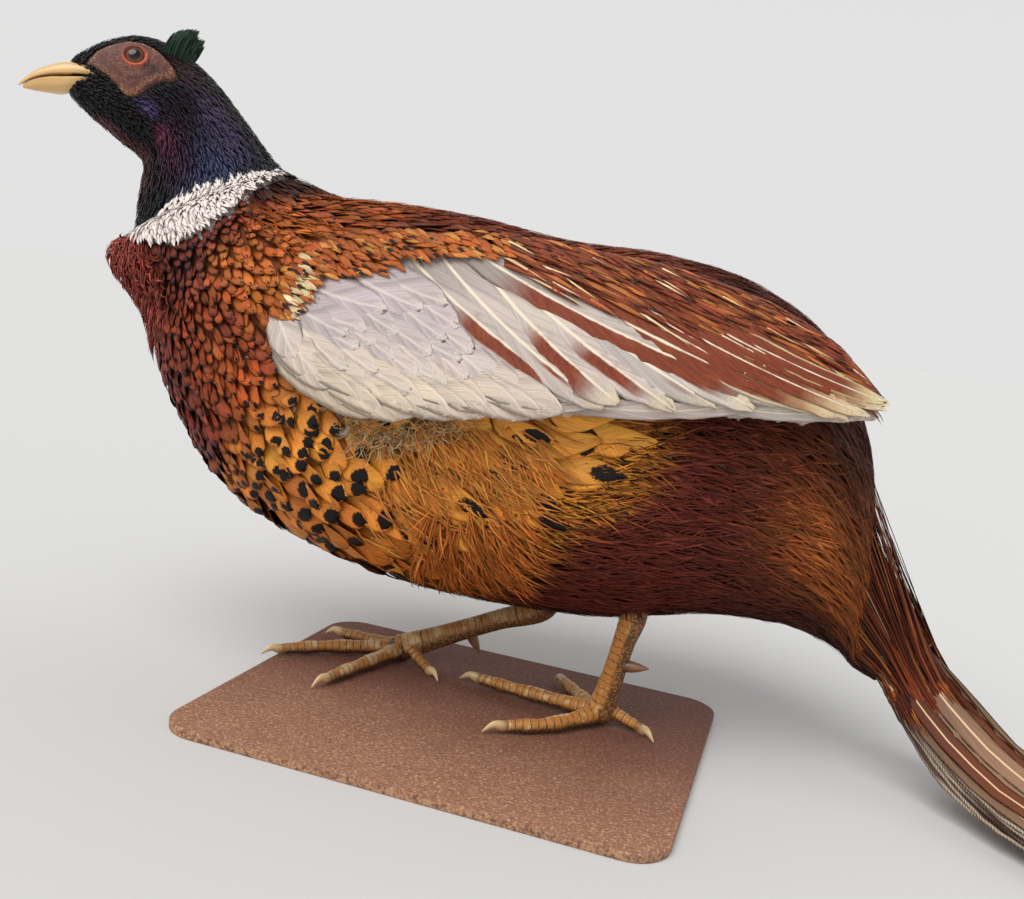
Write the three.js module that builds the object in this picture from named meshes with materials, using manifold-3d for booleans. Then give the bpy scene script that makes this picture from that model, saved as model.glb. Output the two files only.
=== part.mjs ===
// A mounted ring-necked cock pheasant, life size, in stride on a thin board.
// Millimetres, +Z up. The bird faces -X with its left side towards -Y, and the
// origin is the middle of the board's underside, which lies on the floor.
import * as THREE from "three";
import { mergeVertices } from "three/addons/utils/BufferGeometryUtils.js";
import Module from "manifold-3d";

const wasm = await Module();
wasm.setup();

// ---- driving dimensions ----

const GAP = 0.3; // air between pieces that touch in the real mount
const BOARD = { length: 195, width: 161, thick: 3.5, corner: 15, ease: 0.8 };
const STANCE = { x: -2, y: 36.5, yaw: 5 }; // where the bird stands on the board, and how far it is turned
const HEAD_TURN = 32; // the neck and head are turned left by this, in degrees
const NECK_X = -162.6; // the upright line that they turn about
const EYE = { x: -196.9, z: 253.8, out: 10.1, radius: 5.8 };
const BILL_TIP = { x: -243, z: 235.9 };
const SHANK_HALF = 5; // the shank from front to back, at its middle
const CLAW = { length: 11, radius: 1.9 };
const SPUR = { length: 9, radius: 3 };
const TAIL_LENGTHS = [430, 395, 325, 250, 180]; // from the middle pair outwards
const TAIL_BLADE = { width: 30, thick: 0.9, pitch: 1.6, bow: 0.004, tilt: 50 };
const AROUND = 20; // corners round a section of the body

const rad = THREE.MathUtils.degToRad;
const vec = (x, y, z) => new THREE.Vector3(x, y, z);
const through = (points) => new THREE.CatmullRomCurve3(points, false, "catmullrom", 0.5);

// ---- solids ----

// Closed geometry from rings of points, each with the same number of corners.
// Each four-sided face is split along its shorter diagonal.
function skinOf(rings) {
  const n = rings[0].length;
  const middle = (ring) =>
    ring.reduce((sum, p) => sum.add(p), vec(0, 0, 0)).divideScalar(n);
  const points = [...rings.flat(), middle(rings[0]), middle(rings.at(-1))];
  const first = rings.length * n;
  const faces = [];
  for (let j = 0; j < n; j++) {
    const k = (j + 1) % n;
    faces.push(first, k, j);
    faces.push(first + 1, first - n + j, first - n + k);
    for (let i = 0; i < rings.length - 1; i++) {
      const [a, b] = [i * n + j, i * n + k];
      const falling = points[a].distanceTo(points[b + n]);
      const rising = points[b].distanceTo(points[a + n]);
      if (falling < rising) faces.push(a, b, b + n, a, b + n, a + n);
      else faces.push(a, b, a + n, b, b + n, a + n);
    }
  }
  const geometry = new THREE.BufferGeometry().setFromPoints(points);
  return geometry.setIndex(volumeOf(points, faces) < 0 ? faces.reverse() : faces);
}

function volumeOf(points, faces) {
  let sum = 0;
  for (let i = 0; i < faces.length; i += 3) {
    const [a, b, c] = [points[faces[i]], points[faces[i + 1]], points[faces[i + 2]]];
    sum += a.dot(b.clone().cross(c));
  }
  return sum;
}

function solidOf(geometry) {
  const bare = geometry.clone().deleteAttribute("normal").deleteAttribute("uv");
  const merged = mergeVertices(bare, 1e-4);
  return new wasm.Manifold(
    new wasm.Mesh({
      numProp: 3,
      vertProperties: merged.attributes.position.array,
      triVerts: new Uint32Array(merged.index.array),
    }),
  );
}

function geometryOf(solid) {
  const mesh = solid.getMesh();
  const geometry = new THREE.BufferGeometry();
  geometry.setAttribute("position", new THREE.BufferAttribute(mesh.vertProperties, 3));
  geometry.setIndex(new THREE.BufferAttribute(mesh.triVerts, 1));
  return geometry;
}

const ball = (centre, radius, scale = vec(1, 1, 1), detail = 12) =>
  solidOf(
    new THREE.SphereGeometry(radius, detail, Math.round(detail * 0.7))
      .scale(scale.x, scale.y, scale.z)
      .translate(centre.x, centre.y, centre.z),
  );

// The part of a solid on the side of a plane that its normal points to.
function sideOf(solid, point, normal) {
  const size = 1200;
  const turn = new THREE.Quaternion().setFromUnitVectors(vec(0, 0, 1), normal);
  const place = point.clone().addScaledVector(normal, size / 2 + GAP / 2);
  const box = new THREE.BoxGeometry(size, size, size)
    .applyQuaternion(turn)
    .translate(place.x, place.y, place.z);
  return solid.intersect(solidOf(box));
}

// The solid without the slivers that a cut leaves.
const largestOf = (solid) =>
  solid.decompose().reduce((kept, piece) => (piece.volume() > kept.volume() ? piece : kept));

// A ring of points: an oval that is squarer the more its power is above 2.
function oval(centre, halfA, halfB, power = 2, corners = AROUND) {
  return Array.from({ length: corners }, (_, i) => {
    const turn = (2 * Math.PI * i) / corners;
    const [c, s] = [Math.cos(turn), Math.sin(turn)];
    const a = Math.sign(c) * Math.abs(c) ** (2 / power);
    const b = Math.sign(s) * Math.abs(s) ** (2 / power);
    return centre.clone().addScaledVector(halfA, a).addScaledVector(halfB, b);
  });
}

// A round or flattened rod along a path. radii gives half the width across and
// half the height at each of its points, and up is the way of the height.
function rod(path, radii, steps = 6, corners = 8, up = vec(0, 0, 1), grow = 0) {
  const line = through(path);
  const size = through(radii.map(([across, high]) => vec(across, high, 0)));
  const rings = [];
  for (let i = 0; i <= steps; i++) {
    const along = line.getTangent(i / steps);
    const across = along.clone().cross(up).normalize();
    const high = across.clone().cross(along).normalize();
    const half = size.getPoint(i / steps);
    across.multiplyScalar(half.x + grow);
    high.multiplyScalar(half.y + grow);
    rings.push(oval(line.getPoint(i / steps), across, high, 2, corners));
  }
  return skinOf(rings);
}

// ---- body: one shape from bill to tail root, parted with thin cuts ----

// Each station is a section across the body, from a point on the bird's back
// line to one on its front or belly line. It has half its width, the squareness
// of its oval and how far it is turned left with the head.
const station = (backX, backZ, frontX, frontZ, half, power, turn) => ({
  back: vec(backX, 0, backZ),
  front: vec(frontX, 0, frontZ),
  shape: vec(half, power, turn),
});

const BODY = [
  station(-224, 250.5, -224, 236.5, 6.5, 2.2, HEAD_TURN), // feathers at the bill
  station(-211, 260, -212, 227.5, 12.5, 2.3, HEAD_TURN), // lore and chin
  station(-197, 265.5, -199, 219, 16, 2.4, HEAD_TURN), // eye and throat
  station(-183, 264, -192.5, 215, 17.5, 2.3, HEAD_TURN), // ear
  station(-165, 254, -190, 210, 20, 2.1, HEAD_TURN), // nape
  station(-145.5, 235, -191, 194.5, 26, 2, HEAD_TURN), // middle of the neck
  station(-132, 220.5, -192, 181, 33, 2, 26), // white ring
  station(-120, 215, -199, 167, 44, 2.1, 14), // ruff
  station(-97, 208, -175, 141, 55, 2.2, 4), // shoulders
  station(-68, 208, -159, 107, 60, 2.2, 0), // breast
  station(-30, 206, -122, 67, 62, 2.2, 0),
  station(10, 201, -50, 45, 62, 2.2, 0), // belly
  station(52, 200, 38, 44, 60, 2.2, 0),
  station(90, 192, 88, 54, 53, 2.2, 0), // rump
  station(123, 172, 124, 55, 42, 2.1, 0),
  station(143, 136, 146, 48, 28, 2, 0), // tail coverts
  station(155, 92, 153, 42, 18, 2, 0),
  station(182, 57, 163, 38, 11, 2, 0), // root of the tail
];
const BODY_STEPS = 34;

const bodyLine = {
  back: through(BODY.map((s) => s.back)),
  front: through(BODY.map((s) => s.front)),
  shape: through(BODY.map((s) => s.shape)),
};

// A point of the straight profile, moved with the neck and head as they turn.
function turned(point, degrees) {
  const swing = new THREE.Matrix4().makeRotationZ(rad(degrees));
  return point.clone().sub(vec(NECK_X, 0, 0)).applyMatrix4(swing).add(vec(NECK_X, 0, 0));
}

function bodySection(share) {
  const { x: half, y: power, z: turn } = bodyLine.shape.getPoint(share);
  const back = turned(bodyLine.back.getPoint(share), turn);
  const front = turned(bodyLine.front.getPoint(share), turn);
  const long = back.clone().sub(front).divideScalar(2);
  const side = vec(0, 1, 0).applyAxisAngle(vec(0, 0, 1), rad(turn));
  const centre = back.add(front).divideScalar(2);
  return { centre, long, side, half, power };
}

function bodySolid(grow) {
  const rings = [];
  for (let i = 0; i <= BODY_STEPS; i++) {
    const { centre, long, side, half, power } = bodySection(i / BODY_STEPS);
    long.setLength(long.length() + grow);
    rings.push(oval(centre, long, side.multiplyScalar(half + grow), power));
  }
  return solidOf(skinOf(rings));
}

// The plane of a station of the body, facing the tail.
function bodyPlane(index) {
  const { centre, long, side } = bodySection(index / (BODY.length - 1));
  return { point: centre, normal: side.clone().cross(long).normalize() };
}

const cuts = { nape: 4, ring: 6.4, rump: 13, coverts: 15 };
const body = bodySolid(0);
const clearOfBody = bodySolid(GAP);

function between(solid, from, to) {
  let kept = solid;
  if (from !== undefined) {
    const { point, normal } = bodyPlane(from);
    kept = sideOf(kept, point, normal);
  }
  if (to !== undefined) {
    const { point, normal } = bodyPlane(to);
    kept = sideOf(kept, point, normal.negate());
  }
  return kept;
}

// ---- head: bill, eyes and ear tufts ----

const onHead = (x, side, z) => turned(vec(x, side, z), HEAD_TURN);

// Half of the bill: its sections run from the corner of the mouth to the tip.
// Each is [x, top, bottom, half width].
const UPPER_BILL = [
  [-213.5, 247, 244, 11.8],
  [-219, 249.4, 243.8, 10.4],
  [-225, 249.3, 243.1, 8.2],
  [-231, 246.8, 242.1, 6.2],
  [-237, 243.3, 240, 4],
  [BILL_TIP.x + 1.2, 238.6, 236.9, 1.6],
  [BILL_TIP.x, 236.8, BILL_TIP.z, 0.7],
];
const LOWER_BILL = [
  [-213.5, 243.6, 242.2, 11.2],
  [-219, 243.4, 239.4, 9.8],
  [-225, 242.7, 235.8, 7.4],
  [-231, 241.7, 235.2, 5.4],
  [-237, 239.6, 235, 3.2],
  [BILL_TIP.x + 2, 236.2, 235, 1],
];

function billSolid(sections, grow) {
  const size = through(sections.map(([x, top, bottom]) => vec(x, top, bottom)));
  const width = through(sections.map(([, , , half]) => vec(half, 0, 0)));
  const steps = 9;
  const side = onHead(0, 1, 0).sub(onHead(0, 0, 0));
  const rings = [];
  for (let i = 0; i <= steps; i++) {
    const { x, y: top, z: bottom } = size.getPoint(i / steps);
    const high = vec(0, 0, (top - bottom) / 2 + grow);
    const across = side.clone().multiplyScalar(width.getPoint(i / steps).x + grow);
    rings.push(oval(onHead(x, 0, (top + bottom) / 2), high, across, 2.4, 10));
  }
  return solidOf(skinOf(rings));
}

const eyeAt = (side) => onHead(EYE.x, side * EYE.out, EYE.z);

function earTuft(side, lean) {
  const path = [
    onHead(-181, side * 8, 257),
    onHead(-178.5 + lean, side * 9, 265),
    onHead(-174.5 + lean, side * 9.5, 270),
    onHead(-170.5 + lean, side * 9, 272.5),
  ];
  const radii = [
    [4.4, 5],
    [3.6, 4.2],
    [2.8, 3.2],
    [0.8, 1],
  ];
  return solidOf(rod(path, radii, 6, 8, vec(0, 1, 0))).subtract(clearOfBody);
}

const bill = {
  upper: billSolid(UPPER_BILL, 0),
  lower: billSolid(LOWER_BILL, 0),
};
const head = [-1, 1]
  .reduce(
    (kept, side) => kept.subtract(ball(eyeAt(side), EYE.radius + GAP)),
    between(body, undefined, cuts.nape),
  )
  .subtract(billSolid(UPPER_BILL, GAP))
  .subtract(billSolid(LOWER_BILL, GAP));

// ---- wings: folded against the flanks ----

// A section of the folded wing: its lower and upper edge as [side, z], and half
// its thickness, at a place along the bird.
const WING = [
  { x: -101, low: [56, 147], high: [50, 173], half: 5 },
  { x: -88, low: [62, 133], high: [47, 187], half: 8 },
  { x: -50, low: [67, 123], high: [43, 196], half: 10.5 },
  { x: 0, low: [69, 129], high: [41, 197], half: 10.5 },
  { x: 50, low: [67, 136], high: [37, 193], half: 9.5 },
  { x: 90, low: [59, 142], high: [31, 185], half: 7.5 },
  { x: 122, low: [48, 144], high: [28, 171], half: 5 },
  { x: 142, low: [36, 146], high: [29, 153], half: 1.8 },
];
const WING_STEPS = 13;
const COVERTS_END = { x: 0, z: 160, lean: 0.5 }; // where the covert panel gives way to the flight feathers

function wingSolid(side) {
  const low = through(WING.map(({ x, low: [y, z] }) => vec(x, side * y, z)));
  const high = through(WING.map(({ x, high: [y, z] }) => vec(x, side * y, z)));
  const half = through(WING.map((s) => vec(s.half, 0, 0)));
  const rings = [];
  for (let i = 0; i <= WING_STEPS; i++) {
    const share = i / WING_STEPS;
    const long = high.getPoint(share).sub(low.getPoint(share)).divideScalar(2);
    const thick = long.clone().cross(vec(1, 0, 0)).setLength(half.getPoint(share).x);
    const centre = low.getPoint(share).add(long);
    rings.push(oval(centre, long, thick, 3, 12));
  }
  return solidOf(skinOf(rings)).subtract(clearOfBody);
}

// ---- legs ----

const LEGS = {
  left: {
    foot: vec(53.5, -19, 6),
    ankle: vec(61, -22.5, 53),
    hip: vec(48, -30, 103),
    spur: vec(1, -0.1, 0.05),
    toes: {
      inner: [vec(51, -23, 5), vec(34, -41, 3.6), vec(19, -50, 3.2)],
      middle: [vec(50, -18, 5), vec(17, -10, 3.8), vec(-3, -4, 3.2)],
      outer: [vec(51, -15, 5), vec(41, 0, 3.6), vec(33, 13, 3.2)],
      hind: [vec(57, -19, 7), vec(64, -20, 4.5), vec(70, -22, 3)],
    },
    claws: { inner: [-0.8, -0.5], middle: [-1, 0.15], outer: [-0.6, 0.8], hind: [0.7, -0.7] },
  },
  right: {
    foot: vec(-45, 10, 6),
    ankle: vec(18, 18, 36),
    hip: vec(10, 28, 95),
    spur: vec(0.45, 0.1, -0.85),
    toes: {
      inner: [vec(-47, 6, 5), vec(-56, -17, 3.6), vec(-63, -38, 3.2)],
      middle: [vec(-49, 9, 5), vec(-76, -3, 3.8), vec(-94, -16, 3.2)],
      outer: [vec(-48, 13, 5), vec(-64, 17, 3.6), vec(-78, 20, 3.2)],
      hind: [vec(-42, 8, 7), vec(-35, 2, 4.5), vec(-29, -4, 3)],
    },
    claws: { inner: [-0.35, -0.9], middle: [-0.75, -0.65], outer: [-1, 0.1], hind: [0.7, -0.7] },
  },
};
const TOE_RADII = {
  inner: [
    [3.6, 3.6],
    [2.9, 3],
    [2.5, 2.6],
  ],
  hind: [
    [2.8, 2.8],
    [2.5, 2.6],
    [2.2, 2.3],
  ],
};

const shankRadii = (grow) =>
  [1.28, 1, 0.96, 1.18].map((share) => [SHANK_HALF * share * 0.8 + grow, SHANK_HALF * share + grow]);

function shankPath({ foot, ankle }) {
  return [0, 0.33, 0.67, 1].map((share) => foot.clone().lerp(ankle, share));
}

function shankSolid(leg, grow = 0) {
  return solidOf(rod(shankPath(leg), shankRadii(grow), 5, 9, vec(1, 0, 0)));
}

// The feathered leg above the ankle, most of it inside the belly's feathers.
function thighSolid(leg, grow) {
  const { foot, ankle, hip } = leg;
  const shank = ankle.clone().sub(foot).normalize();
  const path = [ankle.clone().addScaledVector(shank, -3), ankle.clone().lerp(hip, 0.4), hip];
  const radii = [
    [5.6, 6],
    [11, 12],
    [19, 22],
  ].map((pair) => pair.map((half) => half + grow));
  const whole = solidOf(rod(path, radii, 6, 12, vec(1, 0, 0)));
  return largestOf(whole.subtract(shankSolid(leg, GAP)));
}

const toeRadii = (toe, grow) =>
  (TOE_RADII[toe] ?? TOE_RADII.inner).map((pair) => pair.map((half) => half + grow));

function footSolid(leg, grow = 0) {
  const palm = ball(leg.foot.clone().add(vec(0, 0, -0.6)), 5.4 + grow, vec(1.05, 1.05, 0.9), 8);
  return Object.entries(leg.toes).reduce(
    (kept, [toe, path]) => kept.add(solidOf(rod(path, toeRadii(toe, grow), 4, 6))),
    palm,
  );
}

function clawGeometry(path, [x, y]) {
  const way = vec(x, y, 0).normalize();
  const end = path.at(-1);
  const along = end.clone().sub(path.at(-2)).normalize();
  const root = end.clone().addScaledVector(along, GAP * 1.5);
  const neck = root.clone().addScaledVector(along, CLAW.length * 0.2);
  const middle = root.clone().addScaledVector(way, CLAW.length * 0.6).add(vec(0, 0, 0.5));
  const tip = root.clone().addScaledVector(way, CLAW.length);
  tip.z = 0.9;
  const { radius } = CLAW;
  const radii = [
    [radius, radius * 1.2],
    [radius, radius * 1.2],
    [radius * 0.7, radius * 0.9],
    [0.3, 0.4],
  ];
  return rod([root, neck, middle, tip], radii, 4, 6);
}

function spurSolid(leg) {
  const root = leg.foot.clone().lerp(leg.ankle, 0.46);
  const way = leg.spur.clone().normalize();
  const tip = root.clone().addScaledVector(way, SPUR.length + SHANK_HALF);
  tip.z += 0.8;
  const path = [root, root.clone().lerp(tip, 0.55), tip];
  const radii = [
    [SPUR.radius, SPUR.radius],
    [SPUR.radius * 0.85, SPUR.radius * 0.85],
    [0.5, 0.5],
  ];
  const shankClear = shankSolid(leg, GAP);
  return solidOf(rod(path, radii, 4, 8, vec(0, 1, 0))).subtract(shankClear);
}

// ---- tail: five pairs of long feathers laid as a roof, resting on the floor ----

const TAIL_RIDGE = through([
  vec(176, -2, 58.5),
  vec(195, -14, 41.5),
  vec(214, -30, 27.5),
  vec(237, -51, 18.5),
  vec(268, -75, 14.5),
  vec(340, -120, 11.5),
  vec(440, -176, 8),
  vec(580, -248, 4.8),
]);
const TAIL_STEPS = 18;
const TAIL_EVEN = 0.4; // the share of the steps' spread that is even: the rest crowds to the root
TAIL_RIDGE.arcLengthDivisions = 400;

// Half the blade's width at a share of its length, and how it narrows to its tip.
const bladeWidth = (share) =>
  TAIL_BLADE.width * Math.min(1, 0.72 + share) * (1 - share ** 3) ** 0.8;

// How steeply the roof's two sides fall: less where the tail is near the floor.
function roofTilt(ridge) {
  const { width, pitch, tilt } = TAIL_BLADE;
  const height = ridge.z + BOARD.thick - TAIL_LENGTHS.length * pitch;
  return rad(tilt) * Math.tanh(height / width / rad(tilt));
}

function tailSection(length, run, pair, side) {
  const whole = TAIL_RIDGE.getLength();
  const ridge = TAIL_RIDGE.getPointAt(run / whole);
  const along = TAIL_RIDGE.getTangentAt(run / whole);
  const lateral = along.clone().cross(vec(0, 0, -side)).normalize();
  const up = lateral.clone().cross(along).multiplyScalar(-side).normalize();
  const tilt = roofTilt(ridge);
  const [cos, sin] = [Math.cos(tilt), Math.sin(tilt)];
  const down = lateral.clone().multiplyScalar(cos).addScaledVector(up, -sin);
  const face = lateral.clone().multiplyScalar(sin).addScaledVector(up, cos);
  const { thick, pitch, bow } = TAIL_BLADE;
  const start = (GAP + (pair * pitch + thick) * sin) / cos;
  const width = Math.max(1.5, bladeWidth(run / length) - start);
  const inner = ridge.addScaledVector(face, -pair * pitch).addScaledVector(down, start);
  const at = (across) =>
    inner
      .clone()
      .addScaledVector(down, across)
      .addScaledVector(face, bow * across * (TAIL_BLADE.width - across));
  const top = [at(0), at(width / 2), at(width)];
  const under = top.map((point) => point.clone().addScaledVector(face, -thick));
  return [...top, ...under.reverse()];
}

function tailFeather(pair, side) {
  const length = TAIL_LENGTHS[pair];
  const longest = TAIL_LENGTHS[0];
  const runs = Array.from({ length: TAIL_STEPS }, (_, i) => i / TAIL_STEPS)
    .map((share) => longest * THREE.MathUtils.lerp(share ** 3, share, TAIL_EVEN))
    .filter((run) => run < length - TAIL_BLADE.width / 3);
  const rings = [...runs, length].map((run) => tailSection(length, run, pair, side));
  const { point, normal } = bodyPlane(BODY.length - 1);
  point.addScaledVector(normal, GAP);
  return sideOf(solidOf(skinOf(rings)), point, normal);
}

// ---- board ----

function boardGeometry() {
  const { length, width, thick, corner, ease } = BOARD;
  const [x, y] = [length / 2 - ease, width / 2 - ease];
  const round = corner - ease;
  const outline = new THREE.Shape();
  outline.moveTo(-x + round, -y);
  outline.lineTo(x - round, -y);
  outline.absarc(x - round, -y + round, round, -Math.PI / 2, 0);
  outline.absarc(x - round, y - round, round, 0, Math.PI / 2);
  outline.absarc(-x + round, y - round, round, Math.PI / 2, Math.PI);
  outline.absarc(-x + round, -y + round, round, Math.PI, 1.5 * Math.PI);
  return new THREE.ExtrudeGeometry(outline, {
    depth: thick - 2 * ease,
    bevelThickness: ease,
    bevelSize: ease,
    bevelSegments: 1,
    curveSegments: 3,
  }).translate(0, 0, ease);
}

// ---- the mount, piece by piece ----

const finish = (color, roughness) =>
  new THREE.MeshStandardMaterial({ color, roughness, metalness: 0 });
const looks = {
  board: finish("#8a6552", 0.85),
  bronze: finish("#8a4320", 0.6),
  maroon: finish("#5e2a18", 0.7),
  neck: finish("#2b2340", 0.35),
  face: finish("#6e3a2c", 0.7),
  tuft: finish("#12261c", 0.4),
  horn: finish("#c9a468", 0.45),
  eye: finish("#2a1408", 0.08),
  covert: finish("#cfc4bb", 0.65),
  flight: finish("#b98a66", 0.65),
  leg: finish("#8d6c42", 0.6),
  claw: finish("#cbb183", 0.45),
  tail: finish("#7a5232", 0.65),
};

const mount = new THREE.Group();
const bird = new THREE.Group();
bird.position.set(STANCE.x, STANCE.y, BOARD.thick);
bird.rotation.z = rad(STANCE.yaw);
mount.add(bird);

function place(group, name, shape, look) {
  const geometry = shape.isBufferGeometry ? shape : geometryOf(shape);
  const mesh = new THREE.Mesh(geometry, look);
  mesh.name = name;
  group.add(mesh);
}

place(mount, "board", boardGeometry(), looks.board);

const trunk = largestOf(
  Object.values(LEGS).reduce(
    (kept, leg) => kept.subtract(thighSolid(leg, 2 * GAP)).subtract(shankSolid(leg, GAP)),
    between(body, cuts.ring, cuts.rump),
  ),
);
place(bird, "head", head, looks.face);
place(bird, "neck", between(body, cuts.nape, cuts.ring), looks.neck);
place(bird, "trunk", trunk, looks.bronze);
place(bird, "rump", between(body, cuts.rump, cuts.coverts), looks.maroon);
place(bird, "tail_coverts", between(body, cuts.coverts), looks.maroon);
place(bird, "bill_upper", bill.upper, looks.horn);
place(bird, "bill_lower", bill.lower, looks.horn);

for (const [name, side] of [
  ["left", -1],
  ["right", 1],
]) {
  place(bird, `eye_${name}`, ball(eyeAt(side), EYE.radius), looks.eye);
  place(bird, `ear_tuft_${name}`, earTuft(side, side > 0 ? 3.5 : 0), looks.tuft);

  const wing = wingSolid(side);
  const cut = vec(COVERTS_END.x, 0, COVERTS_END.z);
  const facing = vec(1, 0, COVERTS_END.lean).normalize();
  place(bird, `wing_${name}_coverts`, sideOf(wing, cut, facing.clone().negate()), looks.covert);
  place(bird, `wing_${name}_flight_feathers`, sideOf(wing, cut, facing), looks.flight);

  const leg = LEGS[name];
  place(bird, `thigh_${name}`, thighSolid(leg, 0), looks.maroon);
  place(bird, `shank_${name}`, largestOf(shankSolid(leg).subtract(footSolid(leg, GAP))), looks.leg);
  place(bird, `foot_${name}`, footSolid(leg), looks.leg);
  place(bird, `spur_${name}`, spurSolid(leg), looks.claw);
  for (const [toe, path] of Object.entries(leg.toes)) {
    place(bird, `claw_${name}_${toe}`, clawGeometry(path, leg.claws[toe]), looks.claw);
  }
  TAIL_LENGTHS.forEach((_, pair) => {
    place(bird, `tail_feather_${name}_${pair + 1}`, tailFeather(pair, side), looks.tail);
  });
}

export default mount;
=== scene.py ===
"""Looks of the mounted ring-necked cock pheasant: skin, feathers, bill, eyes, legs and board."""

import math

import bmesh
import bpy
import numpy as np
from mathutils import Matrix, Vector
from mathutils.kdtree import KDTree


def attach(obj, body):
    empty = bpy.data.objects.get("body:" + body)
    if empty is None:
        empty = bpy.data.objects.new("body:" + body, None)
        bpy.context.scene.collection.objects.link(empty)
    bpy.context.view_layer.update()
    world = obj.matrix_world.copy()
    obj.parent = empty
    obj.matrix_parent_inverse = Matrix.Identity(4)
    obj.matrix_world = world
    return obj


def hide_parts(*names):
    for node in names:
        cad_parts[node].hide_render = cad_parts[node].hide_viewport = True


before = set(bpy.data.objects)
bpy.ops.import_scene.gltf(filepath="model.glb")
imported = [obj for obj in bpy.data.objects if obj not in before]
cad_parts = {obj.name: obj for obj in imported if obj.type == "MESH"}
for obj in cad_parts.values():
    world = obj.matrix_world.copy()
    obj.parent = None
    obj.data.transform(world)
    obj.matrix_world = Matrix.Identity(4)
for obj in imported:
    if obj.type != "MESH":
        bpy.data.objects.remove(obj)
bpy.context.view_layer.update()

# ---- the bird's own frame: millimetres above the board, facing -X ----

MM = 0.001
YAW = math.radians(5.0)  # the bird is turned by this on its board
STANCE = np.array([-2.0, 36.5, 3.5])
HEAD_TURN = 32.0
NECK_X = -162.6
LEFT, RIGHT = -1, 1
SIDES = {"left": LEFT, "right": RIGHT}


def placed(points):
    """Points of the bird's frame, in metres in the part's frame."""
    p = np.asarray(points, float)
    c, s = math.cos(YAW), math.sin(YAW)
    x = p[..., 0] * c - p[..., 1] * s
    y = p[..., 0] * s + p[..., 1] * c
    return (np.stack([x, y, p[..., 2]], -1) + STANCE) * MM


def unit(v):
    """Vectors brought to a length of one."""
    return v / (np.linalg.norm(v, axis=-1, keepdims=True) + 1e-12)


def smooth(x, low, high):
    """0 below low, 1 above high and a smooth rise between."""
    t = np.clip((x - low) / (high - low), 0, 1)
    return t * t * (3 - 2 * t)


def band(x, low, high, soft):
    """1 between low and high, falling off softly past both."""
    return smooth(x, low - soft, low + soft) * (1 - smooth(x, high - soft, high + soft))


def flow(table, t):
    """A smooth line through the rows of a table, at row t."""
    table = np.asarray(table, float)
    last = len(table) - 1
    t = np.clip(t, 0, last - 1e-9)
    i = np.floor(t).astype(int)
    w = np.asarray(t - i)[..., None]
    rows = np.vstack([2 * table[0] - table[1], table, 2 * table[-1] - table[-2]])
    a, b, c, d = rows[i], rows[i + 1], rows[i + 2], rows[i + 3]
    u, v = (c - a) / 2, (d - b) / 2
    return (2 * b - 2 * c + u + v) * w**3 + (3 * c - 3 * b - 2 * u - v) * w**2 + u * w + b


# Sections of the body from the bill to the tail's root: back x, z, front x, z,
# half width, squareness of the oval, and how far it is turned with the head.
BODY = [
    (-224, 250.5, -224, 236.5, 6.5, 2.2, 32),
    (-211, 260, -212, 227.5, 12.5, 2.3, 32),
    (-197, 265.5, -199, 219, 16, 2.4, 32),
    (-183, 264, -192.5, 215, 17.5, 2.3, 32),
    (-165, 254, -190, 210, 20, 2.1, 32),
    (-145.5, 235, -191, 194.5, 26, 2, 32),
    (-132, 220.5, -192, 181, 33, 2, 26),
    (-120, 215, -199, 167, 44, 2.1, 14),
    (-97, 208, -175, 141, 55, 2.2, 4),
    (-68, 208, -159, 107, 60, 2.2, 0),
    (-30, 206, -122, 67, 62, 2.2, 0),
    (10, 201, -50, 45, 62, 2.2, 0),
    (52, 200, 38, 44, 60, 2.2, 0),
    (90, 192, 88, 54, 53, 2.2, 0),
    (123, 172, 124, 55, 42, 2.1, 0),
    (143, 136, 146, 48, 28, 2, 0),
    (155, 92, 153, 42, 18, 2, 0),
    (182, 57, 163, 38, 11, 2, 0),
]
BODY_END = len(BODY) - 1.0


def swung(x, y, z, degrees):
    """A point of the straight profile, turned with the neck and head."""
    a = np.radians(degrees)
    x, y, z, a = np.broadcast_arrays(x, y, z, a)
    along = x - NECK_X
    return np.stack(
        [NECK_X + along * np.cos(a) - y * np.sin(a), along * np.sin(a) + y * np.cos(a), z], -1
    )


def run_along(line):
    """The distance along a line at each of its points."""
    return np.concatenate([[0], np.cumsum(np.linalg.norm(np.diff(line, axis=0), axis=1))])


def body_point(station, angle):
    """A point of the coat. Angle 0 is the back, 180 the front, and left is negative."""
    station, angle = np.broadcast_arrays(np.asarray(station, float), np.asarray(angle, float))
    bx, bz, fx, fz, half, power, turn = np.moveaxis(flow(BODY, station), -1, 0)
    back, front = swung(bx, 0 * bx, bz, turn), swung(fx, 0 * fx, fz, turn)
    a = np.radians(angle)
    long = np.sign(np.cos(a)) * np.abs(np.cos(a)) ** (2 / power)
    wide = np.sign(np.sin(a)) * np.abs(np.sin(a)) ** (2 / power)
    t = np.radians(turn)
    side = np.stack([-np.sin(t), np.cos(t), 0 * t], -1)
    return (back + front) / 2 + (back - front) / 2 * long[..., None] + side * (half * wide)[..., None]


def body_frame(station, angle):
    """Point, outward normal, and the steps of the surface per station and per degree."""
    e, f = 0.02, 0.6
    point = body_point(station, angle)
    down = (body_point(station + e, angle) - body_point(station - e, angle)) / (2 * e)
    round_ = (body_point(station, angle + f) - body_point(station, angle - f)) / (2 * f)
    normal = unit(np.cross(round_, down))
    middle = (body_point(station, 0) + body_point(station, 180)) / 2
    flip = np.sign(np.sum((point - middle) * normal, -1, keepdims=True))
    return point, normal * flip, down, round_


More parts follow.
